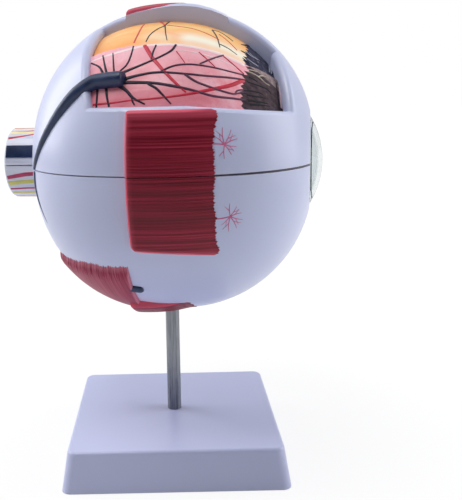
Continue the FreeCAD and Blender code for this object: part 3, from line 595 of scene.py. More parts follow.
def plate_paint():
    """Lighter brown upper part of the ciliary plate, streaked along the eye."""
    paint = Paint("ciliary_plate")
    streaks = paint.streaks((0.08, 0.7, 0.7), 4.0, 0.6, 0.5)
    tint = paint.ramp(streaks, (0.30, 0x685458), (0.5, 0x8C787A), (0.70, 0xAC9A96))
    return paint.coated(tint, streaks, 0.5, 0.66, 0.3, 0.4, 0.25)


PLATE = plate_paint()
NERVE_RADIUS, NERVE_END, NERVE_ROUND = 18.0, 86.5, 1.2
# Places of the cut vessels on the nerve's free end: aside, up and radius.
CENTRAL_ARTERY, CENTRAL_VEIN, VESSEL_BLUR = (1.4, 3.4, 1.5), (-1.4, -3.6, 1.8), 0.15


def nerve_paint():
    """White fibres along the nerve; its free end shows the cut artery and vein in the middle."""
    paint = Paint("nerve_white")
    fibres = paint.streaks((0.03, 0.4, 0.4), 3.0, 0.5)
    tint = paint.ramp(fibres, (0.3, 0xCCCFE2), (0.7, 0xE6E8F2))
    face = paint.ramp(paint.noise(90.0, 2.0), (0.2, 0xCECEDA), (0.8, 0xE2E2EA))
    for (aside, up, radius), tone in ((CENTRAL_ARTERY, 0xC4283C), (CENTRAL_VEIN, 0x2C3A60)):
        off = paint.hypot(paint.math("SUBTRACT", paint.side, aside), paint.math("SUBTRACT", paint.up, up))
        face = paint.mix(paint.spread(off, radius - VESSEL_BLUR, radius + VESSEL_BLUR, 1.0, 0.0), face, tone)
    tint = paint.mix(paint.spread(paint.forward, -NERVE_END + 0.1, -NERVE_END + 0.8, 1.0, 0.0), tint, face)
    # The seam's dark line on the nerve is painted shade of the gap, with dirt.
    return paint.coated(paint.mix(seam_grime_and_shade(paint), tint, SEAM_GRIME_AND_SHADE), fibres, 0.29, 0.4, 0.1, 0.2)


def iris_paint():
    """Brown iris with radial fibres and a dark rim round the pupil."""
    paint = Paint("iris_brown")
    off_axis = paint.hypot(paint.side, paint.up)
    rays = paint.wound(paint.math("MULTIPLY", paint.roll, 0.32), paint.math("MULTIPLY", off_axis, 0.10))
    fibres = paint.noise(1.0, 5.0, 0.65, rays)
    tint = paint.ramp(fibres, (0.30, 0x3A2016), (0.5, 0x704226), (0.72, 0xAC7646))
    tint = paint.mix(paint.spread(off_axis, 11.0, 14.5, 0.85, 0.0), tint, 0x1E1210)
    tint = paint.mix(paint.spread(off_axis, 24.0, 29.0, 0.0, 0.8), tint, 0x2C1E22)
    return paint.coated(tint, fibres, 0.3, 0.45, 0.5, 0.5)


def folds_paint():
    """Brown folds of the ciliary body."""
    paint = Paint("ciliary_folds")
    coat = paint.noise(90.0, 4.0, 0.6)
    return paint.coated(paint.ramp(coat, (0.3, 0x402E2C), (0.7, 0x685048)), coat, 0.35, 0.5, 0.3, 0.3)


def clear_plastic(name, low, high, gloss, bend=1.46):
    """Cast clear plastic with the faintest clouding."""
    paint = Paint(name)
    tint = paint.ramp(paint.noise(25.0), (0.3, low), (0.7, high))
    rough = paint.spread(paint.noise(200.0, 4.0), 0.4, 0.8, gloss, gloss + 0.06)
    waves = paint.bump(paint.noise(60.0, 2.0), 0.05, 0.3)
    return paint.done(tint, rough, waves, Transmission_Weight=1.0, IOR=bend)


WORN = (
    (FOOT_WHITE_SHADED, "base seam_pegs"), (STEEL, "stand_rod rod_washer rod_nut"), (SOCKET, "rod_socket"),
    (WHITE, "lower_sclera upper_sclera"), (PINK, "lower_choroid upper_choroid"),
    (CILIARY, "lower_ciliary_muscle upper_ciliary_muscle"), (RETINA, "lower_retina upper_retina"),
    (iris_paint(), "lower_iris upper_iris"), (folds_paint(), "lower_ciliary_body upper_ciliary_body"),
    (nerve_paint(), "lower_optic_nerve upper_optic_nerve"),
    (clear_plastic("vitreous_clear", 0xDEE8F2, 0xECF3FA, 0.05), "vitreous_rear_shell vitreous_front_shell"),
    (clear_plastic("cornea_clear", 0xE0E6E7, 0xEAEEF0, 0.03, 1.12), "cornea"),
    (clear_plastic("lens_clear", 0xE8EEF2, 0xF4F8FA, 0.02), "lens"),
)
for worn_paint, node_names in WORN:
    for node_name in node_names.split():
        for material_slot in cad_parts[node_name].material_slots:
            material_slot.material = worn_paint

# --- muscle pads
PAD_FOOT, PAD_SKIN, PAD_ROUND, PAD_LEAST, FULL_RIDGE = 0.35, 0.14, 1.5, 0.06, 1.2
FIBRE_HIGHLIGHT, EDGE_HIGHLIGHT, FOOT_HIGHLIGHT = 0.08, 0.75, 0.8  # share of painted highlight there, of 1: on fibre ridges, on rounded edges and at the foot, which lightens the pad's sides
ROUND_STEPS = (0.0, 0.08, 0.3, 0.65, 1.1, PAD_ROUND)
CLOSEST_STATIONS = 0.03


def stations(length, step, round_start, round_end):
    """Distances along an edge, close together where it is rounded."""
    count = max(4, int(round(length / step)))
    spots = {round(length * k / count, 4) for k in range(count + 1)}
    if round_start:
        spots |= set(ROUND_STEPS)
    if round_end:
        spots |= {round(length - reach, 4) for reach in ROUND_STEPS}
    ordered = sorted(spots)
    kept = ordered[:1]
    for spot in ordered[1:]:
        if spot - kept[-1] > CLOSEST_STATIONS:
            kept.append(spot)
    return kept


def rounding(reach, radius):
    """How far a quarter circle falls short at a distance from its edge."""
    if reach >= radius:
        return 0.0
    return radius - math.sqrt(max(radius ** 2 - (radius - reach) ** 2, 0.0))


def fibre(across, along, seed):
    """Height between 0 and 1 of the fibres at a place across the pad."""
    wander = 0.14 * math.sin(0.11 * along + seed) + 0.08 * math.sin(0.23 * along + 2.1 * seed + across * 0.4)
    place = across + wander
    coarse = 0.5 + 0.5 * math.sin(2 * math.pi * place / 1.37 + 1.1 * math.sin(place * 0.37 + seed))
    fine = 0.5 + 0.5 * math.sin(2 * math.pi * place / 0.66 + 0.9 * math.sin(place * 0.61 + 2 * seed))
    strength = 0.55 + 0.45 * math.sin(0.19 * place + seed) * math.sin(0.07 * along + 0.31 * place)
    return 1.0 - strength * (1.0 - 0.6 * coarse - 0.4 * fine)


def teeth(across, seed, depth):
    """Serrated front edge of a pad's paint."""
    coarse = abs(((across / 1.35 + 0.21 * math.sin(across * 1.7 + seed)) % 1.0) - 0.5) * 2
    fine = abs(((across / 0.52 + 0.3 * math.sin(across * 2.9 + seed)) % 1.0) - 0.5) * 2
    slow = 0.5 * math.sin(across * 0.33 + seed) + 0.35 * math.sin(across * 0.81 + 2 * seed)
    uneven = 0.7 + 0.3 * math.sin(across * 1.9 + 3 * seed)
    return depth * (0.95 * coarse * uneven + 0.3 * fine + 0.45 * slow)


def pad(half, node, material, rows, columns, ridge, place):
    """A closed muscle pad over a grid, in place of its node.

    place(i, j) gives the point of the globe, the pad's direction and thickness there, how far it is from each
    rounded edge, the height of its fibres and its share of the lighter border, a painted highlight.
    """
    def cell(i, j):
        spot, direction, full, reaches, height, rim = place(i, j)
        full = max(full, PAD_SKIN)
        fall = max(rounding(reach, min(PAD_ROUND, 0.9 * full)) for reach in reaches)
        groove = ridge * (1.0 - height) * min(1.0, full / FULL_RIDGE)
        rise = max(full - fall - groove * (fall < 0.5 * full), PAD_LEAST)
        # Painted highlight: lighter on fibre ridges, on rounded edges and on the pale borders.
        crest_highlight = FIBRE_HIGHLIGHT * height ** 6 + EDGE_HIGHLIGHT * min(1.0, fall / 0.3) + rim
        return (spot + direction * rise, min(1.0, crest_highlight)), (spot - direction * PAD_FOOT, FOOT_HIGHLIGHT)

    surface = Surface(half)
    surface.slab(rows, columns, cell)
    return surface.finish(node + "_pad", material, [node])


SIDE_BACK, SIDE_FRONT, SIDE_TOP, SIDE_BOTTOM = -9.4, 27.2, 27.8, 34.6
SIDE_SLIDE, SIDE_RISE, SIDE_DROP = 6.4, 3.3, 2.6
FIBRE_STEP, ALONG_STEP = 0.2, 1.1
CORNER, FLARE, FLARE_REACH = 3.4, 1.5, 9.0
# PALE_BORDER is the width of the painted highlight along a straight pad's rear edge.
STRAIGHT_RIDGE, PALE_BORDER = 0.16, 2.8
PLAIN, CUT = (True, 0.0, 0.0), (False, 0.0, 0.0)


def straight_pad(half, node, axis, sign, seed, back, front, low, high, slide, rise, low_edge=PLAIN,
                 high_edge=PLAIN, depth=1.1, low_at=None, heel=0.0):
    """A pad whose fibres run forward; it faces along an axis, y or z, with a sign.

    An edge is whether it is rounded, the radius of its front corner and the width of its lighter border, a
    painted highlight.
    heel rounds the rear corner beside a rounded edge.
    """
    us = stations(front - back, ALONG_STEP, True, False)
    vs = stations(high - low, FIBRE_STEP, low_edge[0], high_edge[0])

    def tall(x, across):
        return math.sqrt(max(oval_radius(x) ** 2 - across ** 2, 0.0))

    def place(i, j):
        begin, end = back, front + teeth(low + vs[j], seed, depth)
        # Painted highlight: the lighter border along the rear edge, and along each edge that has a width for
        # it.
        reaches, rim = [us[i]], 0.5 * max(0.0, 1.0 - us[i] / PALE_BORDER)
        for reach, (is_round, corner, pale) in ((vs[j], low_edge), (high - low - vs[j], high_edge)):
            if is_round:
                begin += rounding(reach, heel)
                reaches.append(reach)
            if corner:
                end += FLARE * max(0.0, 1.0 - reach / FLARE_REACH) - rounding(reach, corner)
            if pale:
                rim = max(rim, 0.8 * max(0.0, 1.0 - reach / pale))
        start = low_at(back + us[i]) if low_at else low
        across = start + vs[j] * (high - start) / (high - low)
        x = begin + us[i] * (end - begin) / (front - back)
        level = tall(x, across)
        spot, direction = Vector((x, sign * level, across)), Vector((0, sign, 0))
        if axis == "z":
            spot, direction = Vector((x, across, sign * level)), Vector((0, 0, sign))
        full = rise + tall(x + slide, across) - level
        return spot, direction, full, reaches, fibre(across, x, seed), rim

    material = SIDE_MUSCLE if axis == "y" else CROWN_MUSCLE
    return pad(half, node, material, len(us), len(vs), STRAIGHT_RIDGE, place)


def side_bottom(x):
    """Lower edge of a side pad, which drops a little towards its front."""
    return -SIDE_BOTTOM + 1.0 - SIDE_DROP * (x - SIDE_BACK) / (SIDE_FRONT - SIDE_BACK)


for side, sign, seed in (("lateral", -1, 0.4), ("medial", 1, 2.3)):
    straight_pad("upper", side + "_rectus_upper", "y", sign, seed, SIDE_BACK, SIDE_FRONT, EDGE, SIDE_TOP,
                 SIDE_SLIDE, SIDE_RISE, CUT, (True, CORNER, 4.2), heel=1.6)
    straight_pad("lower", side + "_rectus_lower", "y", sign, seed + 1.0, SIDE_BACK, SIDE_FRONT, -SIDE_BOTTOM,
                 -EDGE, SIDE_SLIDE, SIDE_RISE, (True, CORNER, 2.4), CUT, low_at=side_bottom, heel=3.2)

WINDOW_FAR_ROLL = math.radians(10.0)
WINDOW_FAR_SLOPE = math.tan(WINDOW_FAR_ROLL)
TOP_RISE, TOP_BACK, TOP_FRONT, TOP_LOW, TOP_HALF_WIDTH = 2.6, -21.0, 5.5, -12.0, 28.0
# Heights of the white swelling along the eye: forward place and height.
SWELLING = ((-21.0, 0.2), (-12.0, 0.5), (-4.5, 1.3), (2.0, 2.2), (6.0, 2.45), (12.5, 2.4), (20.0, 1.7),
            (25.0, 0.9), (29.0, 0.06))
SWELLING_ROWS, SWELLING_COLUMNS, SWELLING_CROWD, SWELLING_FALL, SWELLING_START = 60, 30, 1.5, 2.6, 14.0
WALL_REACH, WALL_FALL, WALL_SKIN = 4.6, 10.0, 0.07


def swelling_at(x):
    """Height of the white swelling that carries the superior pad over the window's far wall."""
    for (start, low), (end, high) in zip(SWELLING, SWELLING[1:]):
        if x <= end:
            return low + (high - low) * smooth((x - start) / (end - start))
    return SWELLING[-1][1]


def swelling_cell(i, j):
    """Top and bottom of the swelling; its first column lies flush with the window's far wall."""
    x = SWELLING[0][0] + (SWELLING[-1][0] - SWELLING[0][0]) * i / SWELLING_ROWS
    near = -math.sin(WINDOW_FAR_ROLL) * oval_radius(x) - WALL_SKIN
    share = (j / SWELLING_COLUMNS) ** SWELLING_CROWD
    y = near + (TOP_HALF_WIDTH - near) * share
    z = math.sqrt(oval_radius(x) ** 2 - y ** 2)
    rise = swelling_at(x) * smooth(min(1.0, (1.0 - share) * SWELLING_FALL))
    rise *= min(1.0, 0.35 + share * SWELLING_START) ** 0.5
    foot = PAD_FOOT + WALL_REACH * max(0.0, 1.0 - share * WALL_FALL)
    over, under = (y, y * (z - foot) / z) if j else (y - WINDOW_FAR_SLOPE * rise, y + WINDOW_FAR_SLOPE * foot)
    return (Vector((x, over, z + rise)),), (Vector((x, under, z - foot)),)


swelling = Surface("upper")
swelling.slab(SWELLING_ROWS + 1, SWELLING_COLUMNS + 1, swelling_cell)
swelling.finish("superior_swelling", WHITE)
straight_pad("upper", "superior_rectus", "z", 1, 3.1, TOP_BACK, TOP_FRONT, TOP_LOW, TOP_HALF_WIDTH, 0.0,
             TOP_RISE, depth=1.6, low_at=lambda x: -WINDOW_FAR_SLOPE * (oval_radius(x) + 1.0) + 1.6)
BOTTOM_BACK, BOTTOM_FRONT_MOST, BOTTOM_OVERRUN = -18.0, 11.0, 1.5
BOTTOM_HALF_WIDTH, BOTTOM_SLIDE, BOTTOM_RISE = 37.0, 14.3, 2.9


def bottom_front():
    """Where the inferior pad's thickness runs out."""
    x = BOTTOM_FRONT_MOST
    while BOTTOM_RISE + oval_radius(x + BOTTOM_SLIDE) - oval_radius(x) < PAD_SKIN:
        x -= 0.1
    return x


inferior = straight_pad("lower", "inferior_rectus", "z", -1, 4.2, BOTTOM_BACK, bottom_front() + BOTTOM_OVERRUN,
                        -BOTTOM_HALF_WIDTH, BOTTOM_HALF_WIDTH, BOTTOM_SLIDE, BOTTOM_RISE, depth=1.8)
SOCKET_RADIUS, SOCKET_LOW, SOCKET_HIGH, SIDES = 6.5, 60.0, 120.0, 48


def drill(thing):
    """Open the rod socket's upright hole in a piece."""
    spots = [Vector((SOCKET_RADIUS * cos, SOCKET_RADIUS * sin, z)) * METRE
             for z in (SOCKET_LOW, SOCKET_HIGH) for cos, sin in circle(SIDES)]
    faces = [tuple(reversed(range(SIDES))), tuple(range(SIDES, 2 * SIDES))]
    faces += [(k, (k + 1) % SIDES, SIDES + (k + 1) % SIDES, SIDES + k) for k in range(SIDES)]
    mesh = bpy.data.meshes.new("drill")
    mesh.from_pydata(spots, [], faces)
    tool = placed("drill", mesh)
    modifier = thing.modifiers.new("hole", "BOOLEAN")
    modifier.operation = "DIFFERENCE"
    modifier.solver = "EXACT"
    modifier.object = tool
    drilled = bpy.data.meshes.new_from_object(thing.evaluated_get(bpy.context.evaluated_depsgraph_get()))
    thing.modifiers.clear()
    old, thing.data = thing.data, drilled
    bpy.data.meshes.remove(old)
    bpy.data.objects.remove(tool)
    bpy.data.meshes.remove(mesh)


drill(inferior)
OBLIQUE_RISE, OBLIQUE_EDGE, OBLIQUE_INNER = 1.3, 44.0, 16.0
# OBLIQUE_FRINGE is the width of the painted highlight along the upper edge.
OBLIQUE_BACK, OBLIQUE_FRONT, OBLIQUE_TAPER, OBLIQUE_FRINGE = -56.0, -13.0, 9.0, 3.2
OBLIQUE_ROWS, OBLIQUE_STEP, OBLIQUE_CROWD, OBLIQUE_RIDGE = 36, 0.22, 1.7, 0.22


def oblique_pad(half, node, sign, seed):
    """A thin pad low on the lateral side or high on the medial one; its fibres wind round the eye."""
    us = stations(OBLIQUE_FRONT - OBLIQUE_BACK, OBLIQUE_STEP, False, False)

    def place(i, j):
        x = OBLIQUE_BACK + us[i]
        radius = oval_radius(x)
        start = math.asin(min((OBLIQUE_EDGE - 0.6 - teeth(x * 1.05, seed, 1.4)) / radius, 1.0))
        end = max(math.acos(min(OBLIQUE_INNER / radius, 1.0)), start + 0.002)
        from_edge = (end - start) * (j / (OBLIQUE_ROWS - 1)) ** OBLIQUE_CROWD
        angle = start + from_edge
        spot = Vector((x, sign * radius * math.cos(angle), sign * radius * math.sin(angle)))
        normal = outward(spot)
        share = min(1.0, from_edge * radius / OBLIQUE_TAPER)
        full = OBLIQUE_RISE * (-normal.x + sign * (normal.y + normal.z)) * share * (2.0 - share)
        height = fibre((x - OBLIQUE_WIND * angle) * 1.25, radius * angle, seed)
        # Painted highlight: lighter paint along the upper edge, strongest on the fibre ridges.
        rim = 0.85 * max(0.0, 1.0 - from_edge * radius / OBLIQUE_FRINGE) * (0.4 + 0.6 * height)
        return spot, normal, full, [us[-1] - us[i]], height, rim

    pad(half, node, OBLIQUE, len(us), OBLIQUE_ROWS, OBLIQUE_RIDGE, place)


oblique_pad("lower", "inferior_oblique", -1, 0.9)
oblique_pad("upper", "superior_oblique", 1, 1.9)

# --- raised veins
VEIN_SINK, IN_WINDOW, VEIN_STEP, VEIN_SIDES = 0.6, 2.8, 0.9, 20


def cord(half, node, *rows):
    """A round vein; a row is a forward distance, a roll, a radius and, unless it is VEIN_SINK, the depth."""
    places = []
    points = [on_layer(*row[:2], *(row[3:] or (VEIN_SINK,))) for row in rows]
    for spot, parameter in smooth_path(points, VEIN_STEP):
        radius = between([row[2] for row in rows], parameter)
        places.append((spot, outward(spot), radius, radius))
    surface = Surface(half)
    surface.strand(places, VEIN_SIDES)
    surface.finish(node + "_cord", NAVY, [node])


cord("upper", "superior_vortex_vein", (-13.2, 35.0, 3.0, IN_WINDOW + 0.1), (-13.8, 35.0, 3.5, IN_WINDOW),
     (-20.0, 35.3, 3.6, IN_WINDOW), (-27.5, 35.3, 3.5, IN_WINDOW - 0.6), (-34.9, 31.4, 3.2), (-42.7, 25.9, 2.8),
     (-51.7, 17.1, 2.2), (-58.0, 7.8, 1.7), (-61.0, 1.2, 1.4))
cord("lower", "posterior_vein", (-61.0, -1.0, 1.3), (-61.5, -11.0, 1.2), (-60.0, -21.0, 1.0),
     (-56.5, -30.0, 0.7), (-52.0, -38.5, 0.25))
cord("lower", "inferior_vortex_vein", (-15.0, -47.5, 2.5), (-14.0, -47.5, 2.5), (-9.4, -47.5, 2.4),
     (-8.2, -47.5, 1.5))

# --- vessels painted on the layers of the window
# Each point of a route is a pixel of the photograph and the line's width there in millimetres.
CHOROID_VEINS = {
    "a": ((121, 80.6, 3), (128, 78.8, 1.8), (140, 75.6, 1.4), (158, 73, 1.3), (187, 74.6, 1.1),
        (212, 77, 1.1), (245, 81, 1)),
    "b": ((121, 83, 3), (129, 83.2, 1.9), (153, 83.6, 1.4), (172, 86.5, 1.5), (193, 91, 1.2), (215, 97, 1.1),
        (245.5, 101, 1)),
    "c": ((148, 84.4, 1.2), (156, 89, 1.2), (163, 96, 1), (171, 104.6, 0.6)),
    "d": ((119, 85.5, 2.6), (122.5, 88.4, 1.8), (127, 92, 1.5), (133.5, 99, 1.3), (145, 105, 0.6)),
    "d_fork": ((131.5, 97, 0.8), (132.5, 102, 0.9), (134.5, 105.8, 0.6)),
    "e": ((97.6, 88, 1.4), (97, 98, 1), (96.2, 110, 1)),
    "e_second": ((106, 88, 1.4), (107, 98, 1.1), (109, 107.5, 1)),
    "f": ((103, 74, 1.3), (99, 67.5, 0.9), (91.4, 64, 0.7)),
    "f_second": ((106.5, 74, 1.3), (104.5, 65, 0.9), (103, 56.5, 0.8)),
    "f_third": ((114, 73, 1), (113.4, 64, 0.8), (113, 54, 0.6)),
    "f_fourth": ((120, 72, 0.9), (127, 65, 0.9), (131, 56, 0.9), (133.5, 47, 0.7)),
    "g": ((120, 75, 2.2), (126, 72, 1.6), (138, 67, 1.3), (150, 62, 1.1), (160, 57.5, 1.1), (171, 51.5, 1.3),
        (176, 45.5, 1.2)),
    "h": ((151.5, 60, 1), (153, 53, 0.9), (156, 46, 0.8)),
    "k": ((160, 73, 1.2), (166, 69.5, 1.1), (176, 66, 1), (190, 65, 1), (207, 67, 0.9), (229, 72, 0.8),
        (244, 76, 0.7)),
    "l": ((185, 75, 1.3), (192, 80, 1.3), (200, 84, 1.2), (215, 89.5, 1.1), (228, 93.4, 1), (234, 94.6, 0.9),
        (238, 94, 0.8), (247, 93, 0.7)),
    "loop": ((235, 94.4, 0.8), (237, 91.6, 0.8), (241, 90.6, 0.7), (247, 91, 0.7)),
    "m": ((200, 64.5, 0.8), (208, 61, 0.9), (223.5, 56, 0.8)),
}
CHOROID_ARTERIES = {
    "thick": ((144.6, 46, 2), (152, 58, 1.9), (158, 65, 1.7), (164, 72, 1.5), (175, 83, 1.4), (186, 93, 0.9)),
    "low": ((93, 105.6, 1.1), (112, 103.6, 0.9), (131, 101, 0.8), (152, 99.3, 0.9), (172, 97, 1),
        (190, 94.4, 1.2), (207, 91, 1.6), (229, 86.5, 1.9), (244, 81, 2)),
    "fine_a": ((176.5, 52, 0.6), (181, 58, 0.5), (185, 63.5, 0.4)),
    "fine_b": ((199, 53, 0.7), (207, 60, 0.6), (215, 67.5, 0.4)),
    "fine_c": ((223.5, 57, 0.7), (233, 65, 0.6), (244, 75, 0.5)),
}
RETINA_ARTERIES = {
    "left": ((144.5, 25, 0.8), (139, 33, 0.9), (134, 43.5, 0.8)),
    "top": ((157, 20.8, 1.1), (161, 23, 1.2), (165, 26, 1)),
    "long": ((167, 26, 0.6), (180, 27.3, 0.5), (193, 29.5, 0.5), (206, 34, 0.5), (219, 40.5, 0.4)),
    "right": ((219, 35, 0.5), (228, 42, 0.5), (237, 51, 0.4)),
}
RETINA_VEINS = {
    "y_left": ((172, 20.8, 0.9), (165, 26, 0.8), (158, 29.5, 0.7), (150, 35.5, 0.6), (146, 42.5, 0.5)),
    "y_stem": ((165, 26, 0.7), (165.6, 33, 0.5), (167, 41, 0.4)),
    "right": ((212.5, 31, 0.9), (217, 38, 0.7), (220, 48, 0.5)),
    "right_fork": ((220, 45, 0.7), (228, 49, 0.6), (237, 55.5, 0.4)),
    "right_edge": ((212, 30.6, 0.5), (221, 33.5, 0.4), (233, 42, 0.4)),
}
# Pale lines along the choroid's edge: painted highlight on its bevel, and a painted glint below it.
CHOROID_BEVEL_HIGHLIGHTS = {
    "edge": ((91.5, 62.4, 1), (102.6, 57.8, 1.2), (114.3, 54.2, 1.4), (132, 49.2, 1.5), (145, 46.4, 1.5),
        (158, 45.4, 1.5), (176, 45.4, 1.6), (200, 49.2, 1.8), (216.6, 53.4, 1.9), (229, 58.4, 2),
        (239.8, 63.4, 2), (244.5, 66.2, 1.6)),
    "glint": ((172, 50.6, 0.2), (184, 51.4, 0.5), (196, 53.4, 0.6), (208, 56.4, 0.6), (220, 60.6, 0.6),
        (232, 66, 0.5), (242, 71.6, 0.2)),
}
PLATE_LIGHT = {
    "long": ((246.4, 72.2, 0.5), (252, 73.8, 0.6), (256.6, 76.3, 0.6), (260.7, 79.4, 0.6), (264.8, 83.5, 0.5),
        (269.6, 86.2, 0.3)),
    "upper": ((247, 69.8, 0.3), (252, 71, 0.5), (257, 72.6, 0.3)),
    "branch": ((258, 77.2, 0.4), (262, 76.6, 0.6), (268.5, 79, 0.3)),
}
PLATE_RIM = {
    "front": ((278.8, 80.5, 1.3), (279.5, 86, 1.5), (280.6, 98.8, 1.6), (281.6, 109, 1.6)),
}
PLATE_DARK = {
    "green": ((247, 82.4, 0.5), (253.6, 84.5, 0.7), (260.7, 87, 0.8), (265.8, 89, 0.8), (268.9, 91.6, 0.7),
        (271.4, 95.2, 0.3)),
    "rim": ((276, 83.5, 0.5), (277, 90, 0.7), (277.8, 98, 0.7), (279, 109, 0.8)),
    "bar_a": ((247.5, 91, 0.9), (256, 92.5, 0.8), (263, 95, 0.3)),
    "bar_b": ((247, 95.5, 0.9), (256, 97, 0.9), (266, 99, 0.3)),
    "bar_c": ((248, 101, 1.3), (257, 102, 1.2), (268, 104.5, 0.3)),
    "bar_d": ((250, 105, 1), (259, 105.6, 0.9), (270, 107, 0.3)),
    "dark_a": ((249, 77.5, 1), (253, 79.5, 1.1), (258, 83, 0.3)),
}
SLATE_LIGHT = {
    "top": ((245.4, 51.8, 0.5), (251, 56.4, 0.6), (257.7, 60.5, 0.3)),
    "second": ((249, 53.2, 0.3), (254, 57.4, 0.3), (259.5, 61.2, 0.2)),
    "low": ((247.4, 59.5, 0.4), (253, 63.6, 0.6), (258.2, 67, 0.4)),
    "front_a": ((269, 65.6, 0.4), (269.4, 72.8, 0.5)),
    "front_b": ((270.5, 67.7, 0.4), (271.3, 74.6, 0.4)),
}
SLATE_DARK = {
    "top": ((241, 45.2, 0.4), (245, 46, 1.4), (249, 46.6, 1.6), (252.6, 48.4, 1.4), (255.6, 51.5, 1.1),
        (259.7, 55.2, 0.9), (264.8, 58.2, 0.8), (268.4, 61, 0.8), (272, 64, 0.8)),
    "front": ((272.2, 64.5, 0.9), (272.6, 70, 1), (272.8, 75, 0.9)),
    "tooth_a": ((240.6, 51.3, 0.3), (244.5, 53.4, 1.1), (251, 57.6, 0.3)),
    "tooth_b": ((242.3, 58.5, 0.3), (245.4, 61.2, 1.1), (250, 64.4, 0.3)),
}


def vessels(name, routes, inset, material, height):
    """Painted lines on a layer of the upper half, in one piece."""
    surface = Surface("upper")
    for route in routes.values():
        surface.line([seen(point[:2], inset) for point in route], [point[2] for point in route], inset, height)
    surface.finish(name, material)


vessels("choroid_veins", CHOROID_VEINS, CHOROID_INSET, THIN_VEIN, 0.34)
vessels("choroid_arteries", CHOROID_ARTERIES, CHOROID_INSET, ARTERY, 0.26)
vessels("retina_arteries", RETINA_ARTERIES, RETINA_INSET, FINE_ARTERY, 0.2)
vessels("retina_veins", RETINA_VEINS, RETINA_INSET, THIN_VEIN, 0.2)
# Painted highlight along the choroid's edge.
vessels("choroid_bevel_highlight", CHOROID_BEVEL_HIGHLIGHTS, CHOROID_INSET, BEVEL_HIGHLIGHT_PINK, 0.1)
vessels("slate_light_streaks", SLATE_LIGHT, RETINA_INSET, PALE_GREY, 0.2)
vessels("slate_dark_edges", SLATE_DARK, RETINA_INSET, INK, 0.3)
PLATE_TOP = ((244.5, 66.2), (250, 66.4), (255.6, 68), (262.8, 71), (267.9, 73.6), (272, 76), (276, 78.2),
             (279.6, 80))
PLATE_FOOT, PLATE_COLUMNS, PLATE_ROWS = 51.6, 40, 8
PLATE_SINK = 0.05


def plate():
    """The ciliary muscle's plate where it reaches higher than the choroid's edge, over the dark zone."""
    upper = [seen(pixel, CHOROID_INSET) for pixel in PLATE_TOP]

    def cell(i, j):
        x = upper[0].x + (upper[-1].x - upper[0].x) * i / PLATE_COLUMNS
        left, right = next((pair for pair in zip(upper, upper[1:]) if x <= pair[1].x + EDGE), upper[-2:])
        high = roll_of(left) + (roll_of(right) - roll_of(left)) * (x - left.x) / (right.x - left.x)
        roll = PLATE_FOOT + (max(high, PLATE_FOOT + 0.1) - PLATE_FOOT) * j / PLATE_ROWS
        round_off = 0.5 * max(0.0, (j - PLATE_ROWS + 2) / 2.0) ** 2
        return ((on_layer(x, roll, CHOROID_INSET + PLATE_SINK + round_off),),
                (on_layer(x, roll, RETINA_INSET - PLATE_SINK),))

    surface = Surface("upper")
    surface.slab(PLATE_COLUMNS + 1, PLATE_ROWS + 1, cell)
    surface.finish("ciliary_plate", PLATE)


plate()
vessels("plate_light_streaks", PLATE_LIGHT, CHOROID_INSET, CREAM, 0.26)
vessels("plate_rim", PLATE_RIM, CHOROID_INSET, ROSY_GREY, 0.3)
vessels("plate_dark_streaks", PLATE_DARK, CHOROID_INSET, SOOT, 0.2)

# --- bursts of capillaries beside the pads
# Each ray is an angle, a length and the side its fork leaves on.
BURST_RAYS = ((100, 7.4, 1), (64, 7.0, -1), (28, 6.4, 1), (-8, 5.4, -1), (-50, 5.2, 1), (-92, 6.0, -1),
              (140, 5.6, -1))
BURST_STEM, BURST_CORE = 7.2, 0.2


def burst(name, half, forward, roll, flip):
    """A star of fine lines, each with a small fork, and a stem that comes out of the muscle."""
    surface = Surface(half)
    centre = on_layer(forward, roll)
    normal = outward(centre)
    ahead = Vector((1, 0, 0))
    ahead = (ahead - normal * ahead.dot(normal)).normalized()
    up = normal.cross(ahead)
    if up.z <= 0:
        up = -up

    def stroke(points, widths, height, step):
        turned = [(math.radians(angle), reach) for angle, reach in points]
        surface.line([centre + ahead * (reach * math.cos(turn)) + up * (flip * reach * math.sin(turn))
                      for turn, reach in turned], widths, 0.0, height, step)

    for angle, reach, side in BURST_RAYS:
        stroke(((angle, BURST_CORE), (angle + 3 * side, 0.5 * reach), (angle - 2 * side, reach)),
               (0.5, 0.4, 0.2), 0.1, 0.5)
        stroke(((angle + 2 * side, 0.42 * reach), (angle + 17 * side, 0.68 * reach),
                (angle + 24 * side, 0.92 * reach)), (0.34, 0.28, 0.16), 0.09, 0.4)
    stroke(((180, BURST_STEM), (176, 0.5 * BURST_STEM), (0, BURST_CORE)), (0.7, 0.65, 0.55), 0.12, 0.5)
    surface.finish(name, MAGENTA)


burst("upper_capillary_burst", "upper", 32.0, 10.6, 1)
burst("lower_capillary_burst", "lower", 34.0, -15.4, -1)
burst("upper_medial_burst", "upper", 32.0, 169.4, 1)
burst("lower_medial_burst", "lower", 34.0, -164.6, -1)

# --- lines on the optic nerve
NERVE_ROOT, NERVE_LINE_HEIGHT, NERVE_STEPS = -66.0, 0.16, 24


def nerve_line(surface, rolls, widths):
    """A line along the nerve, from its free end to the globe; rolls and widths are spaced evenly."""
    start = -NERVE_END + NERVE_ROUND
    places = []
    for k in range(NERVE_STEPS + 1):
        share = k / NERVE_STEPS
        angle = math.radians(between(rolls, share * (len(rolls) - 1)))
        normal = Vector((0, -math.cos(angle), math.sin(angle)))
        centre = Vector((start + (NERVE_ROOT - start) * share, 0, 0)) + normal * NERVE_RADIUS
        wide = between(widths, share * (len(widths) - 1)) / 2
        places.append((centre, normal, wide, NERVE_LINE_HEIGHT))
    surface.strand(places)


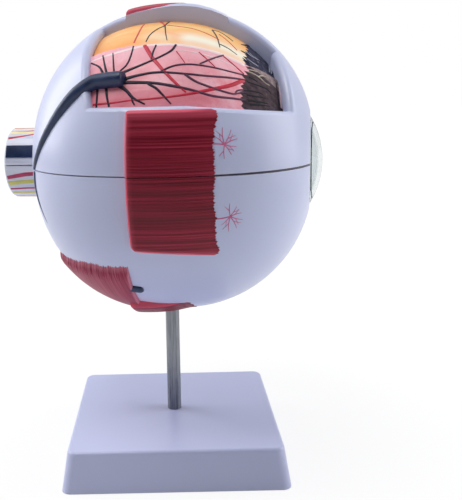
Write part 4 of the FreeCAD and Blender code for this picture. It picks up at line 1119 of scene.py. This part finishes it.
NERVE_LINES = (
    ("nerve_navy_band", "upper", NERVE_NAVY, "vein_navy",
     (((22.5, 22.5), (6.6, 6.6)), ((158, 158), (6.0, 6.0)))),
    ("nerve_red_upper", "upper", ARTERY, "muscle_red",
     (((48, 52, 57, 60), (1.6, 1.2, 0.9, 0.8)), ((66, 68, 72), (0.9, 0.8, 0.8)), ((84, 86), (0.9, 0.7)),
      ((120, 118), (1.2, 0.9)), ((138, 134), (1.1, 1.3)))),
    ("nerve_yellow_upper", "upper", PALE_YELLOW, "nerve_white",
     (((63, 62), (3.0, 1.6)), ((77, 76), (2.4, 1.2)), ((104, 106), (2.6, 1.8)), ((128, 130), (1.6, 2.2)))),
    ("nerve_red_lower", "lower", CRIMSON, "muscle_red",
     (((-20, -14.5, -12.5), (2.0, 2.2, 1.9)), ((-44, -42, -41), (1.5, 1.2, 1.1)), ((-74, -76), (1.3, 1.0)),
      ((-104, -101), (1.1, 1.5)), ((-140, -143), (1.2, 1.6)))),
    ("nerve_yellow_lower", "lower", YELLOW, "nerve_white",
     (((-31, -28, -26), (2.6, 2.3, 2.2)), ((-55, -54), (1.4, 1.8)), ((-88, -87), (1.8, 1.4)),
      ((-120, -122), (2.0, 1.4)), ((-156, -157), (1.5, 2.1)))),
)
for line_name, line_half, line_material, line_slot, lines in NERVE_LINES:
    line_surface = Surface(line_half)
    for line_rolls, line_widths in lines:
        nerve_line(line_surface, line_rolls, line_widths)
    line_surface.finish(line_name, line_material)

# --- studio, in metres
scene.view_settings.view_transform = "Standard"
PURE_WHITE = (1.0, 1.0, 1.0, 1.0)
FLOOR_HALF, FLOOR_SINK, FLOOR_GLOW, FLOOR_FADE = 6.0, 0.0002, 1.05, (0.09, 0.34, 0.82, 1.0)
SKY_COLOUR, SKY_SPREAD = (0.97, 0.98, 1.0, 1.0), (-0.9, 0.5, 0.028, 0.68)
CLIP_START, CLIP_END = 0.01, 50.0
# Each light: its place, the height it is aimed at, its size and its power in watts.
LIGHTS = (
    ("softbox_left", (-0.84, 0.34, 0.55), 0.18, (0.7, 0.7), 5.1),
    ("softbox_right", (0.9, 0.02, 0.5), 0.15, (0.7, 0.9), 5.0),
    ("softbox_window", (-0.24, -0.22, 1.05), 0.2, (0.4, 0.4), 3.7),
    ("softbox_top", (-0.5, -0.12, 0.95), 0.19, (0.5, 0.5), 1.0),
)


def add_camera():
    """The photograph's camera."""
    data = bpy.data.cameras.new("camera")
    thing = placed("camera", data)
    axes = Matrix((RIGHT, -DOWN, -FORWARD)).transposed().to_4x4()
    axes.translation = CAMERA_AT * METRE
    thing.matrix_world = axes
    longest = max(FRAME_PIXELS)
    data.sensor_width = SENSOR_MM
    data.sensor_fit = "AUTO"
    data.lens = FOCAL_PIXELS * SENSOR_MM / longest
    data.shift_x = (FRAME_PIXELS[0] / 2 - CENTRE_PIXEL[0]) / longest
    data.shift_y = (CENTRE_PIXEL[1] - FRAME_PIXELS[1] / 2) / longest
    data.clip_start, data.clip_end = CLIP_START, CLIP_END
    scene.camera = thing


def add_floor():
    """A pale floor that holds the shadow near the object and turns white away from it."""
    corners = [(x * FLOOR_HALF, y * FLOOR_HALF, 0) for x, y in ((-1, -1), (1, -1), (1, 1), (-1, 1))]
    mesh = bpy.data.meshes.new("floor")
    mesh.from_pydata(corners, [], [(0, 1, 2, 3)])
    thing = placed("floor", mesh)
    thing.location.z = -FLOOR_SINK
    paint = Paint("floor_white")
    paint.done(paint.ramp(paint.noise(3.0, 2.0), (0.3, 0xD6D7DC), (0.7, 0xDCDDE1)), 0.7)
    glow = paint.node("Emission", {"Color": PURE_WHITE, "Strength": FLOOR_GLOW})
    path = paint.node("LightPath").outputs
    rays = paint.math("MAXIMUM", path["Is Camera Ray"], path["Is Glossy Ray"])
    rays = paint.math("MAXIMUM", rays, path["Is Transmission Ray"])
    across, deep, _ = paint.node("SeparateXYZ", {0: paint.place}).outputs
    share = paint.math("MULTIPLY", rays, paint.spread(paint.hypot(across, deep), *FLOOR_FADE))
    blend = paint.node("MixShader", {0: share, 1: paint.shader.outputs[0], 2: glow.outputs[0]})
    paint.feed(paint.tree.nodes["Material Output"].inputs["Surface"], blend.outputs[0])
    mesh.materials.append(paint.material)


def add_light(name, at, aim_height, size, power):
    """A softbox aimed at the model's upright axis."""
    data = bpy.data.lights.new(name, "AREA")
    data.shape = "RECTANGLE"
    data.size, data.size_y = size
    data.energy = power
    thing = placed(name, data)
    thing.location = at
    thing.rotation_euler = (Vector((0.0, 0.0, aim_height)) - Vector(at)).to_track_quat("-Z", "Y").to_euler()


def add_world():
    """Soft white surroundings, brighter behind the object than on the camera's side."""
    world = bpy.data.worlds.new("studio")
    scene.world = world
    world.use_nodes = True
    world.node_tree.nodes.clear()
    sky = Nodes(world.node_tree)
    ways = sky.node("SeparateXYZ", {0: sky.node("TexCoord").outputs["Generated"]}).outputs
    light = sky.node("Background", {"Color": SKY_COLOUR, "Strength": sky.spread(ways["Y"], *SKY_SPREAD)})
    white = sky.node("Background", {"Color": PURE_WHITE, "Strength": 1.0})
    path = sky.node("LightPath").outputs
    either = sky.math("MAXIMUM", path["Is Camera Ray"], path["Is Transmission Ray"])
    blend = sky.node("MixShader", {0: either, 1: light.outputs[0], 2: white.outputs[0]})
    sky.node("OutputWorld", {"Surface": blend.outputs[0]})


add_camera()
add_floor()
add_world()
for light_values in LIGHTS:
    add_light(*light_values)
